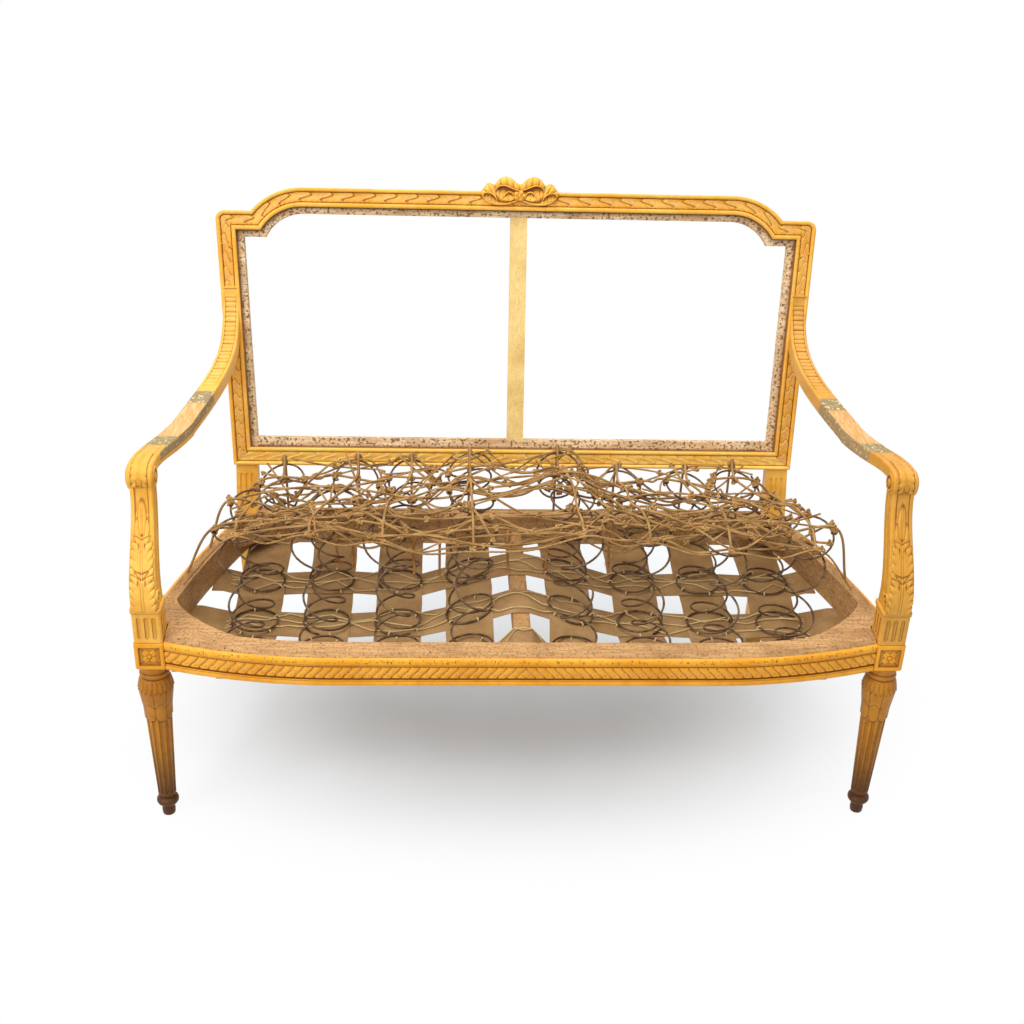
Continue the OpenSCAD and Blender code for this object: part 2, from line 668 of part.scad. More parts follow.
module arm_plan() {
    steps = 2 * curve_steps;
    back = arm_top[0] + arm_t;
    front = scroll_c[0] - scroll_r - over;
    ys = [for (k = [0:steps]) back + (front - back) * k / steps];
    polygon(concat([for (y = ys) [arm_x(y) + arm_half_w(y), y]],
        [for (k = [steps:-1:0]) [arm_x(ys[k]) - arm_half_w(ys[k]), ys[k]]]));
}
module armrest(side) color(gold) both_ways(side) {
    difference() {
        intersection() {
            rotate([90, 0, 90]) linear_extrude(wide) arm_side(0);
            translate([0, 0, seat_h]) linear_extrude(wide) arm_plan();
        }
        on_back() translate([0, 0, -wide + fit]) cube([wide, wide, wide]);
    }
    on_back() arm_tenon(0);
    for (s = [-1, 1]) translate([scroll_x + s * (arm_front_w * half - over * half), scroll_c[0], scroll_c[1]])
        rotate([0, 90 * s, 0]) cylinder(h = volute_d + over * half, r = volute_r, $fn = 48);
}
module armrest_left() armrest(-1);
module armrest_right() armrest(1);

// Arm supports: fluted base, plate and a support that sweeps back to the scroll
plate_z = seat_h + base_h;
support_top = scroll_c[1];
function support_mid(z) = scroll_c[0] * ease((z - plate_z - plate_h) / (support_top - plate_z - plate_h));
function support_depth(z) = half * (support_foot_w + (support_top_w - support_foot_w)
    * (z - plate_z) / (support_top - plate_z));
module support_side() {
    steps = curve_steps;
    zs = [for (k = [0:steps]) plate_z - over + (support_top - plate_z + over) * k / steps];
    difference() {
        polygon(concat([for (z = zs) [support_mid(z) + support_depth(z), z]],
            [for (k = [steps:-1:0]) [support_mid(zs[k]) - support_depth(zs[k]), zs[k]]]));
        arm_side(fit);
    }
}
module support_front_view() {
    foot = support_foot_w * half;
    top = support_top_w * half;
    rise = support_top - plate_z;
    right = bezier([foot * 0.9, plate_z - over], [foot * 1.12, plate_z + rise * 0.2],
                   [foot * 0.8, plate_z + rise * 0.6], [scroll_out + top, support_top]);
    left = bezier([scroll_out - top, support_top], [-foot * 0.62, plate_z + rise * 0.6],
                  [-foot * 0.86, plate_z + rise * 0.2], [-foot * 0.9, plate_z - over]);
    translate([leg_x, 0]) polygon(concat(right, left));
}
module base_flutes() for (k = [-1:1]) {
    low = seat_h + raw_rise;
    high = plate_z - plate_h - base_flute_r * 2;
    translate([k * base_w * 0.27, -base_w * half - base_flute_r * 0.3, low]) flute(base_flute_r, high - low);
}
module arm_support(side) color(gold) both_ways(side) {
    translate([leg_x, 0, 0]) {
        difference() {
            translate([-base_w * half, -base_w * half, seat_h + fit])
                cube([base_w, base_w, base_h - plate_h]);
            base_flutes();
            rotate([0, 0, 90]) base_flutes();
        }
        translate([-block_h, -block_h, plate_z - plate_h]) cube([block_w, block_w, plate_h]);
    }
    intersection() {
        rotate([90, 0, 90]) linear_extrude(wide) support_side();
        translate([0, wide * half, 0]) rotate([90, 0, 0]) linear_extrude(wide) support_front_view();
        translate([0, -wide, plate_z - over * half]) cube([2 * wide, 2 * wide, wide]);
    }
}
module arm_support_left() arm_support(-1);
module arm_support_right() arm_support(1);

// Webbing: eight straps from front to back, woven with three across the seat.
// The straps across ride up over the bearer; all are turned under the rails.
seat_run = rear_in_y - front_in_y;
front_edge_gap = 1.5;                 // from the front rail to the edge of the first strap across
cross_shares = [0.384, 0.68];         // middles of the other two, from front to rear inner face
sag_shares = [0, 1, 0.4];             // sag at each strap across
cross_y = concat([front_in_y + front_edge_gap + cross_w * half],
    [for (s = cross_shares) front_in_y + s * seat_run]);
weave = (strap_t + gap) * half;
web_end_z = rail_low - gap - strap_t * half;
web_z = web_end_z - weave;
hump_z = bearer_top + gap + strap_t * half;
hump_in = bearer_w * half + gap;
function strap_x(col) = strap_first + strap_pitch * col;
// Close to the front rail the straps come down from the bearer within one strap's space
function hump_out(row) = row == 0 ? strap_first - strap_w * half - 2 * gap : strap_x(1) - strap_w * half;
function web_h(x, row) = let(away = (hump_out(row) - abs(x)) / (hump_out(row) - hump_in),
        low = web_z - strap_sag * sag_shares[row])
    low + (hump_z - low) * min(max(away, 0), 1);
function over_under(col, row) = (col + row) % 2 == 0 ? 1 : -1;
// A strap through stations, each with the middles of its two edges
module strap(stations) {
    n = len(stations);
    t = [0, 0, strap_t * half];
    verts = [for (s = stations) each [s[0] - t, s[1] - t, s[1] + t, s[0] + t]];
    walls = [for (k = [0:n - 2], e = [0:3])
        let(a = 4 * k + e, b = 4 * k + (e + 1) % 4, c = b + 4, d = a + 4)
        each e == 2 ? [[a, b, d], [b, c, d]] : [[a, b, c], [a, c, d]]];
    o = 4 * (n - 1);
    polyhedron(verts, concat(walls, [[0, 2, 1], [0, 3, 2], [o, o + 1, o + 2], [o, o + 2, o + 3]]));
}
function long_edges(xs, y, z) = [[xs[0], y, z[0]], [xs[1], y, z[1]]];
function cross_edges(x, ys, z) = [[x, ys[1], z], [x, ys[0], z]];
// A strap from front to back in one column, on one side of the bearer
module long_strap(col, side) color(jute) both_ways(side) {
    x = strap_x(col);
    xs = [x - strap_w * half, x + strap_w * half];
    lip = front_arc_y(x, front_rail_t);
    rear_end = xs[1] > rear_rail_x ? post_front - gap : post_front + rear_rail_t * 0.4;
    end_z = [web_end_z, web_end_z];
    strap(concat(
        [long_edges(xs, front_arc_y(x, tack_strip_w), end_z), long_edges(xs, lip, end_z)],
        [for (row = [0:len(cross_y) - 1], s = [-1, 1])
            let(y = cross_y[row] + s * (cross_w * half + gap), drop = weave * over_under(col, row))
            if (y > lip + gap) long_edges(xs, y, [web_h(xs[0], row) - drop, web_h(xs[1], row) - drop])],
        [long_edges(xs, rear_in_y, end_z), long_edges(xs, rear_end, end_z)]));
}
module cross_strap(row) color(jute) {
    ys = [cross_y[row] - cross_w * half, cross_y[row] + cross_w * half];
    rail_in = min(side_x(ys[0], side_rail_t), side_x(ys[1], side_rail_t));
    end_x = min(rail_in + side_rail_t * 0.6, leg_x - block_h - tack_strip_w);
    right = concat([cross_edges(hump_in, ys, hump_z)],
        [for (col = [0:cols_a_side - 1], s = [-1, 1]) let(x = strap_x(col) + s * (strap_w * half + gap))
            cross_edges(x, ys, web_h(x, row) + weave * over_under(col, row))],
        [cross_edges(end_x - side_rail_t * 0.6, ys, web_end_z), cross_edges(end_x, ys, web_end_z)]);
    left = [for (k = [len(right) - 1:-1:0]) [for (p = right[k]) [-p[0], p[1], p[2]]]];
    strap(concat(left, right));
}

// Springs: one unbroken hourglass coil each, stitched to a strap across. Their lashing
// has let go, so they lean back, fan out in front and in at the rear, and their top rings
// are tipped, each by its own amount.
lean_shares = [1.08, 0.97, 0.58];     // rearward lean of each row, of the spring's height
inward_shares = [-0.08, -0.02, 0.1];  // inward lean of each row, of the spring's place from the middle
tip_shares = [0.2, 0.25, 0.5];        // rise of the top rings to the rear, row by row
stray_share = 0.2;                    // spread of the tip from spring to spring
sway_share = 0.5;                     // spread of the sideways lean, of the waist's radius
rail_clear = 1;                       // from the front rail to the springs beside it
function row_y(row) = row > 0 ? cross_y[row]
    : front_arc_y(strap_x(cols_a_side - 1), front_rail_t + rail_clear + ring_low_r + wire_r);
function spring_h(row) = spring_front_h + (spring_rear_h - spring_front_h) * row / (rows - 1);
function spring_r(s) = ring_waist_r + ((s < half ? ring_low_r : ring_top_r) - ring_waist_r) * pow(cos(180 * s), 2);
// Height share along the wire: both end turns lie nearly flat
function spring_s(t) = t * t * t * (10 - 15 * t + 6 * t * t);
function tip_x(col, row, side) = stray_share * sin(97 * col + 151 * row + 67 * side + 40);
function tip_y(col, row, side) = tip_shares[row] + stray_share * sin(61 * col + 113 * row + 97 * side + 200);
function lean_x(col, row, side) =
    ring_waist_r * sway_share * sin(131 * col + 59 * row + 83 * side) - inward_shares[row] * strap_x(col);
function lean_y(col, row, side) =
    spring_h(row) * lean_shares[row] * (1 + stray_share * 0.4 * sin(83 * col + 47 * row + 71 * side));
spring_foot = strap_t + gap * 1.5 + wire_r;
function fall(col, row) = let(x = strap_x(col)) (web_h(x + strap_w * half, row) - web_h(x, row)) / (strap_w * half);
function spring_points(col, row, side) = let(
        n = round(turn_rings * spring_turns), h = spring_h(row), x0 = strap_x(col),
        foot = web_h(x0, row) + spring_foot, start = 140 + 47 * col + 83 * row + 31 * side,
        lx = lean_x(col, row, side), ly = lean_y(col, row, side),
        tx = tip_x(col, row, side), ty = tip_y(col, row, side))
    [for (k = [0:n]) let(t = k / n, s = spring_s(t), a = start + 360 * spring_turns * t, r = spring_r(s),
            dx = r * cos(a), dy = r * sin(a))
        [x0 + dx + lx * s * s, row_y(row) + dy + ly * s * s,
         foot + fall(col, row) * dx * (1 - s) + h * s + s * s * s * (tx * dx + ty * dy)]];
module spring(col, row, side) color(steel) both_ways(side)
    tube(spring_points(col, row, side), wire_r, z_way);
function least_gap(p) = min([for (i = [0:len(p) - 1], j = [i + 5:1:len(p) - 1]) norm(p[i] - p[j])]) - 2 * wire_r;
echo(least_spring_gap = min([for (col = [0:cols_a_side - 1], row = [0:rows - 1], side = [-1, 1])
    least_gap(spring_points(col, row, side))]));

// Lashing twine: lines across each row and from front to back over each column,
// laid over the top rings and tied down at the side rails and the rear rail.
on_wire = wire_r + gap + twine_r;
past_share = 1 + on_wire / ring_top_r;  // from a ring's middle to where a line has passed its wire
bridge_clear = 3;                       // between a line and the rings it passes from row to row
function steepness(col, row, side) =
    sqrt(1 + pow(tip_x(col, row, side), 2) + pow(tip_y(col, row, side), 2));
// A place over the top ring, at a share of its radius across and rearward
function on_ring(col, row, side, across, rearward) =
    [strap_x(col) + lean_x(col, row, side), row_y(row) + lean_y(col, row, side),
     web_h(strap_x(col), row) + spring_foot + spring_h(row) + on_wire * steepness(col, row, side)]
    + ring_top_r * [across, rearward, across * tip_x(col, row, side) + rearward * tip_y(col, row, side)];
// The lowest point of a slack line between two places
function sagged(a, b) = (a + b) * half - [0, 0, twine_sag * min(1, norm(b - a) / strap_first)];
function mirrored(p) = [-p[0], p[1], p[2]];
function between(col, row, side) =
    sagged(on_ring(col, row, side, past_share, 0), on_ring(col + 1, row, side, -past_share, 0));
// The middle of a line across, seen from one side
function row_middle(row, side) =
    sagged(on_ring(0, row, side, -past_share, 0), mirrored(on_ring(0, row, -side, -past_share, 0)));
function row_half(row, side) = let(last = cols_a_side - 1,
        y = min(on_ring(last, row, side, 0, 0)[1], rear_in_y - side_rail_t))
    concat([for (col = [0:last]) each concat(col > 0 ? [between(col - 1, row, side)] : [],
            [on_ring(col, row, side, -past_share, 0), on_ring(col, row, side, past_share, 0)])],
        [[side_x(y, side_rail_t * half), y, raw_top + gap + twine_r]]);
module row_line(row) {
    left = row_half(row, -1);
    tube(concat([for (k = [len(left) - 1:-1:0]) mirrored(left[k])], [row_middle(row, 1)],
        row_half(row, 1)), twine_r, y_way);
}
// The lines from front to back lie on the lines across, and pass from ring to ring over
// the higher of the two
function over_ring(col, row, side) =
    on_ring(col, row, side, 0, 0) + [0, 0, 2 * (twine_r + gap) * steepness(col, row, side)];
function bridge(col, row, side) = let(a = on_ring(col, row - 1, side, 0, 1), b = on_ring(col, row, side, 0, -1))
    [(a[0] + b[0]) * half, (a[1] + b[1]) * half, max(a[2], b[2]) + bridge_clear];
module column_line(col, side) both_ways(side) {
    end = on_ring(col, rows - 1, side, 0, past_share);
    tube(concat([on_ring(col, 0, side, 0, -past_share)],
        [for (row = [0:rows - 1]) each concat(row > 0 ? [bridge(col, row, side)] : [],
            [over_ring(col, row, side)])],
        [end, [end[0], rear_in_y + rear_rail_t * 0.3, raw_top + gap + twine_r]]), twine_r, x_way);
}
// Cut ends hang from the front line, beside its springs: the side, the column, and
// whether from the ring's outer or inner side
tail_seats = [[-1, 2, -1], [-1, 1, 1], [-1, 1, -1], [-1, 0, 1], [-1, 0, -1], [1, 0, -1], [1, 0, 1]];
tail_share = 0.4;                       // from the ring to the line's lowest point
module tail(k) {
    side = tail_seats[k][0];
    col = tail_seats[k][1];
    way = tail_seats[k][2];
    tie = on_ring(col, 0, side, way * past_share, 0);
    run = (way > 0 ? between(col, 0, side) : col > 0 ? between(col - 1, 0, side) : row_middle(0, side)) - tie;
    slope = abs(run[2]) / norm([run[0], run[1]]);
    top = tie + run * tail_share - [0, 0, gap + twine_r * (slope + sqrt(1 + slope * slope))];
    bend = [twine_r * (col + 1 - way), -twine_r * (1 + k % 3), -tail_l * half];
    end = top + [bend[0] * half, bend[1] * 2, -tail_l * (1 + stray_share * half * sin(137 * k))];
    both_ways(side) tube([top, top + bend * half, top + bend, end], twine_r, x_way);
}
module lashing_rows() color(twine_colour) for (row = [0:rows - 1]) row_line(row);
module lashing_columns() color(twine_colour)
    for (col = [0:cols_a_side - 1], side = [-1, 1]) column_line(col, side);
module lashing_tails() color(twine_colour) for (k = [0:len(tail_seats) - 1]) tail(k);

// Names of the nodes
side_words = ["left", "right"];
row_words = ["front", "middle", "rear"];
function side_sign(k) = k == 0 ? -1 : 1;
function long_name(col, k) = str("webbing_long_", side_words[k], "_", col + 1);
function cross_name(row) = str("webbing_cross_", row + 1);
function spring_name(col, row, k) = str("spring_", row_words[row], "_", side_words[k], "_", col + 1);

centred() front_leg_left();
centred() front_leg_right();
centred() arm_support_left();
centred() arm_support_right();
centred() armrest_left();
centred() armrest_right();
centred() back_post_left();
centred() back_post_right();
centred() crest_rail();
centred() crest_ribbon();
centred() back_bottom_rail();
centred() back_mullion();
centred() front_seat_rail();
centred() side_seat_rail_left();
centred() side_seat_rail_right();
centred() rear_seat_rail();
centred() front_corner_block_left();
centred() front_corner_block_right();
centred() rear_corner_block_left();
centred() rear_corner_block_right();
centred() centre_bearer();
for (k = [0, 1], col = [0:cols_a_side - 1])
    centred() long_strap(col, side_sign(k));
for (row = [0:len(cross_y) - 1])
    centred() cross_strap(row);
for (row = [0:rows - 1], k = [0, 1], col = [0:cols_a_side - 1])
    centred() spring(col, row, side_sign(k));
centred() lashing_rows();
centred() lashing_columns();
centred() lashing_tails();
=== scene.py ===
"""Looks of an open-backed settee frame, stripped to its wood, webbing, springs and twine.

Shapes are worked out in millimetres in the maker's frame: x across the seat, y rearward from the
axes of the front legs, z up from the floor. place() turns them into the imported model's metres.
"""

from __future__ import annotations

import logging
import math
from collections.abc import Iterable
from dataclasses import dataclass
from enum import Enum
from itertools import cycle, product, repeat

import bpy
import numpy as np
from mathutils import Matrix


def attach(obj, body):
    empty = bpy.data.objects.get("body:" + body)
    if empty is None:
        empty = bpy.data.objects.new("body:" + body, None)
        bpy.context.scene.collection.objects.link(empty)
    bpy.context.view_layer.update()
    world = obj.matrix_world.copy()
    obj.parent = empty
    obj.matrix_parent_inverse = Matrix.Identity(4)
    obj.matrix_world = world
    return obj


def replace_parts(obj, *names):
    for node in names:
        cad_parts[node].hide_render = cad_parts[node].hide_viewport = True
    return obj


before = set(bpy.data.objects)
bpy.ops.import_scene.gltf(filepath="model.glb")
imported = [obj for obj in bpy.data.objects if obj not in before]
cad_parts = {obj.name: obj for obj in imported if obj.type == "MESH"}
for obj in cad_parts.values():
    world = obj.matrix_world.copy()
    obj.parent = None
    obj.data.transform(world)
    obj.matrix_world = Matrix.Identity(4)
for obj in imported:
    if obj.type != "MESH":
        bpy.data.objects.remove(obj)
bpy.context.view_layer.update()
LOG = logging.getLogger("settee")
BODY = "root"
DEPTH_MID = 267.54  # y of the settee's middle in the maker's frame, mm
UPWARD = (0.0, 0.0, 1.0)
WHITE = (1.0, 1.0, 1.0, 1.0)
SMOOTH = {"interpolation_type": "SMOOTHSTEP"}
TIMES = {"operation": "MULTIPLY"}
RGBA = {"data_type": "RGBA"}
Array = np.ndarray
Line = tuple[tuple[float, float], ...]
Material, Node, Socket = bpy.types.Material, bpy.types.Node, bpy.types.NodeSocket


class Side(Enum):
    """Which half of the settee a piece belongs to; the value is the sign of its x."""

    LEFT = -1
    RIGHT = 1

    @property
    def word(self) -> str:
        """The side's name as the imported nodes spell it."""
        return self.name.lower()


class Grain(Enum):
    """Direction of the wood grain, as the shrink of the pattern along x, y and z."""

    ACROSS = (0.06, 1.0, 1.0)
    DEEP = (1.0, 0.06, 1.0)
    UP = (1.0, 1.0, 0.06)


# ---- numbers and surfaces


def place(points: Array) -> Array:
    """Millimetres in the maker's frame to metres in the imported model's frame."""
    return (np.asarray(points, float) - (0.0, DEPTH_MID, 0.0)) * 1e-3


def hold(x: Array) -> Array:
    """x held between 0 and 1."""
    return np.minimum(np.maximum(x, 0.0), 1.0)


def ease(t: Array) -> Array:
    """Smooth step: 3t^2 - 2t^3 on t held between 0 and 1."""
    c = hold(t)
    return c * c * (3.0 - 2.0 * c)


def span(x: Array, low: Array | float, high: float, rise: float, fall: float | None = None) -> Array:
    """1 between two places and 0 outside, eased in over rise and out over fall, or rise again."""
    return ease((x - low) / rise) * ease((high - x) / (fall or rise))


def mix(a: Array, b: Array, t: Array) -> Array:
    """a at t = 0, b at t = 1."""
    return a + (b - a) * t


def bell(x: Array, width: float) -> Array:
    """1 where x is 0, and less on both sides of it: exp(-(x / width)^2)."""
    return np.exp(-((x / width) ** 2))


def grid(*parts: Array | float) -> Array:
    """Points out of their coordinates, each spread to the shape that all of them share."""
    return np.stack(np.broadcast_arrays(*parts), axis=-1)


def corners(table: Array) -> Array:
    """The four corners of each cell of a table, in their order round the cell."""
    return np.stack([table[:-1, :-1], table[:-1, 1:], table[1:, 1:], table[1:, :-1]], axis=2)


def unit(v: Array) -> Array:
    """Vectors scaled to length one along the last axis."""
    return v / np.maximum(np.linalg.norm(v, axis=-1, keepdims=True), 1e-9)


def lengths(path: Array) -> Array:
    """Distance run along a path at each of its points."""
    return np.concatenate([[0.0], np.cumsum(np.linalg.norm(np.diff(path, axis=0), axis=1))])


def resample(path: Array, step: float) -> Array:
    """A path's points at an even step along it, by straight interpolation."""
    s = lengths(path)
    t = np.linspace(0.0, s[-1], max(int(s[-1] / step), 2) + 1)
    return np.stack([np.interp(t, s, path[:, k]) for k in range(path.shape[1])], axis=1)


def spline(knots: Array, per_span: int = 10) -> Array:
    """Catmull-Rom curve: each span's cubic takes half the chord of its neighbours as slope."""
    p = np.asarray(knots, float)
    p = np.concatenate([[2 * p[0] - p[1]], p, [2 * p[-1] - p[-2]]])
    t = (np.arange(per_span) / per_span)[:, None]
    a, b, c, d = (p[k : len(p) - 3 + k, None, :] for k in range(4))
    curve = 0.5 * (2 * b + (c - a) * t + (2 * a - 5 * b + 4 * c - d) * t**2 + (3 * b - a - 3 * c + d) * t**3)
    return np.concatenate([curve.reshape(-1, p.shape[1]), p[-2:-1]])


def bezier(a: Array, b: Array, c: Array, d: Array, steps: int) -> Array:
    """Cubic curve with end points a and d and handles b and c."""
    t = np.linspace(0.0, 1.0, steps + 1)[:, None]
    u = 1.0 - t
    return u**3 * a + 3 * u**2 * t * b + 3 * u * t**2 * c + t**3 * d


def noise(shape: tuple[int, ...], seed: int, spread: float = 1.0) -> Array:
    """Seeded random numbers between -spread and spread."""
    return np.random.default_rng(seed).uniform(-spread, spread, shape)


def frames(path: Array) -> tuple[Array, Array]:
    """Two directions square to a path at each point, carried along it without sudden turns.

    The first is the previous one with its part along the new tangent taken away.
    """
    tangent = unit(np.gradient(path, axis=0))
    side = np.empty_like(path)
    start = np.cross(tangent[0], UPWARD if abs(tangent[0][2]) < 0.8 else (1.0, 0.0, 0.0))
    last = start / np.linalg.norm(start)
    for k, t in enumerate(tangent):
        last = last - t * float(last @ t)
        last = last / np.linalg.norm(last)
        side[k] = last
    return side, np.cross(tangent, side)


def put(name: str, data: bpy.types.ID) -> bpy.types.Object:
    """A new object in the scene, with its mesh, camera or lamp."""
    thing = bpy.data.objects.new(name, data)
    bpy.context.scene.collection.objects.link(thing)
    return thing


class Shape:
    """Gathers closed lofts of one piece, in maker's millimetres, and turns them into an object."""

    def __init__(self) -> None:
        """Starts with nothing in it."""
        self.points: list[Array] = []
        self.faces: list[Array] = []
        self.caps: list[Array] = []
        self.uvs: list[Array] = []
        self.marks: dict[str, list[Array]] = {"glaze": [], "bare": [], "soil": []}
        self.count = 0

    def loft(
        self, rings: Array, glaze: Array | float = 0.0, bare: Array | float = 0.0,
        soil: Array | float = 0.0, closed: bool = False,
    ) -> Shape:
        """Adds a skin through rings of points, capped at both ends by a fan to the ring's middle.

        Args:
            rings: n rings of m points, an array (n, m, 3). Each ring closes on itself.
            glaze and shade: how deep the brown glaze lies at each point, with the painted shade of creases
                and corners, 0 to 1, (n, m) or one number.
            bare: how far the paint is gone at each point, (n, m) or one number.
            soil: how dirty each point is, (n, m) or one number.
            closed: the last ring joins the first, and there are no caps.

        Returns:
            This shape, so that calls can follow each other.
        """
        rings = np.asarray(rings, float)
        n, m = rings.shape[:2]
        index = np.arange(n * m).reshape(n, m)
        rows = np.concatenate([index, index[:1]]) if closed else index
        quads = corners(np.concatenate([rows, rows[:, :1]], axis=1)).reshape(-1, 4)
        steps = np.linalg.norm(np.diff(rings, axis=0), axis=2).mean(axis=1)
        along = np.concatenate([[0.0], np.cumsum(steps)])
        if closed:
            along = np.append(along, 2 * along[-1] - along[-2])
        middle = rings[n // 2]
        around = lengths(np.concatenate([middle, middle[:1]]))
        uv = corners(np.stack(np.meshgrid(along, around, indexing="ij"), axis=-1) * 1e-3).reshape(-1, 4, 2)
        flat, tris = rings.reshape(-1, 3), np.empty((0, 3), int)
        if not closed:
            flat = np.concatenate([flat, np.stack([rings[0].mean(axis=0), rings[-1].mean(axis=0)])])
            here, after, last = np.arange(m), np.roll(np.arange(m), -1), (n - 1) * m
            tris = np.concatenate([grid(n * m, after, here), grid(n * m + 1, last + here, last + after)])
        a, b, c, d = (flat[quads[:, k]] for k in range(4))
        e, f, g = (flat[tris[:, k]] for k in range(3))
        volume = (a * (np.cross(b, c) + np.cross(c, d))).sum() + (e * np.cross(f, g)).sum()
        if volume < 0:
            quads, uv, tris = quads[:, ::-1], uv[:, ::-1], tris[:, ::-1]
        for name, value in zip(self.marks, (glaze, bare, soil)):
            full = np.broadcast_to(np.asarray(value, float), (n, m)).reshape(-1)
            self.marks[name].append(np.concatenate([full, np.zeros(len(flat) - n * m)]))
        self.points.append(flat)
        self.faces.append(quads + self.count)
        self.uvs.append(uv)
        self.caps.append(tris + self.count)
        self.count += len(flat)
        return self

    def tube(
        self, path: Array, radius: Array | float, sides: int = 8, strands: int = 0, lay: float = 14.0
    ) -> Shape:
        """Adds a round tube along a path, or a laid rope whose strands stand out of its round.

        The radius at angle a and distance s is r(1 + 0.16 cos(strands (a - 2 pi s / lay))).

        Args:
            path: the tube's middle line, (n, 3).
            radius: one radius, or one at each point.
            sides: points round the tube.
            strands: 0 for a plain tube, or the number of strands in the rope.
            lay: length of one full turn of the strands, in millimetres.
        """
        u, v = (w[:, None, :] for w in frames(path))
        angle = np.arange(sides) * 2 * np.pi / sides
        r = np.broadcast_to(np.asarray(radius, float), (len(path),))[:, None]
        twist = strands * (angle - 2 * np.pi * lengths(path)[:, None] / lay)
        lobe = 0.5 + 0.5 * np.cos(twist) if strands else np.ones((len(path), sides))
        r = r * (1.0 + (0.32 * lobe - 0.16 if strands else 0.0))
        rings = path[:, None, :] + (r * np.cos(angle))[..., None] * u + (r * np.sin(angle))[..., None] * v
        # Darker between the strands: painted shade where the strands meet.
        return self.loft(rings, glaze=(1.0 - lobe) if strands else 0.0)

    def hoop(self, path: Array, radius: float, sides: int = 6) -> Shape:
        """Adds a round tube along a path that ends where it starts, such as a tight knot.

        Each ring's first direction points away from the path's middle, so the ends meet.
        """
        tangent = unit(np.roll(path, -1, axis=0) - np.roll(path, 1, axis=0))
        away = path - path.mean(axis=0)
        u = unit(away - tangent * np.einsum("ij,ij->i", away, tangent)[:, None])
        v = np.cross(tangent, u)
        a = np.arange(sides)[:, None] * 2 * np.pi / sides
        rings = path[:, None, :] + radius * (np.cos(a) * u[:, None, :] + np.sin(a) * v[:, None, :])
        return self.loft(rings, glaze=0.2, closed=True)

    def turned(self, centre: Array, axis: tuple, profile: Iterable, stretch: float = 1.0) -> Shape:
        """Adds a turned piece: rings round an axis, with a glaze line where the profile dips.

        Args:
            centre: where the profile's distance is 0.
            axis: direction of the turning.
            profile: distance along the axis and radius of each ring.
            stretch: how much longer the rings are across than up.
        """
        axis = unit(np.asarray(axis, float))
        u = unit(np.cross(axis, UPWARD))
        v = np.cross(axis, u)
        a = np.linspace(0.0, 2 * np.pi, 49)[:-1, None]
        s, r = np.array(profile).T
        rings = np.asarray(centre, float) + s[:, None, None] * axis
        rings = rings + r[:, None, None] * (stretch * np.cos(a) * u + np.sin(a) * v)
        return self.loft(rings, glaze=np.clip(np.maximum.accumulate(s) - s, 0.0, 0.8)[:, None])

    def build(self, name: str, material: Material, angle: float = 42.0) -> bpy.types.Object:
        """Makes the object, gives it its finish, and lets it ride on the settee's one body.

        Args:
            name: the piece's name.
            material: its finish.
            angle: edges sharper than this many degrees stay sharp.

        Returns:
            The finished object, at the origin, with its place in its mesh.
        """
        points = place(np.concatenate(self.points))
        quads, tris = np.concatenate(self.faces), np.concatenate(self.caps)
        mesh = bpy.data.meshes.new(name)
        mesh.from_pydata(points.tolist(), [], quads.tolist() + tris.tolist())
        uv = np.concatenate([np.concatenate(self.uvs).reshape(-1, 2), np.zeros((3 * len(tris), 2))])
        mesh.uv_layers.new(name="UVMap").data.foreach_set("uv", uv.reshape(-1).astype(np.float32))
        for mark, values in self.marks.items():
            layer = mesh.attributes.new(mark, "FLOAT", "POINT")
            layer.data.foreach_set("value", np.concatenate(values).astype(np.float32))
        mesh.polygons.foreach_set("use_smooth", np.ones(len(mesh.polygons), bool))
        mesh.set_sharp_from_angle(angle=math.radians(angle))
        mesh.materials.append(material)
        mesh.update()
        piece = put(name, mesh)
        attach(piece, BODY)
        LOG.info("%s: %d faces", name, len(mesh.polygons))
        return piece


# ---- finishes


def colour(code: str) -> tuple[float, float, float, float]:
    """An sRGB hex colour as Blender's linear colour."""
    srgb = [int(code[k : k + 2], 16) / 255 for k in (1, 3, 5)]
    linear = [c / 12.92 if c <= 0.04045 else ((c + 0.055) / 1.055) ** 2.4 for c in srgb]
    return (linear[0], linear[1], linear[2], 1.0)


def add(tree: bpy.types.NodeTree, kind: str, inputs: dict | None = None, **settings: object) -> Node:
    """Adds a node with its settings, and links or sets its inputs.

    Args:
        tree: the material's node tree.
        kind: the node's type, without the words ShaderNode.
        inputs: by socket name or number, an output socket to link or a value to set.
        settings: the node's own options.

    Returns:
        The node.
    """
    node = tree.nodes.new("ShaderNode" + kind)
    for name, value in settings.items():
        setattr(node, name, value)
    for key, value in (inputs or {}).items():
        socket = node.inputs[key]
        if isinstance(value, Socket):
            tree.links.new(value, socket)
        else:
            socket.default_value = value
    return node


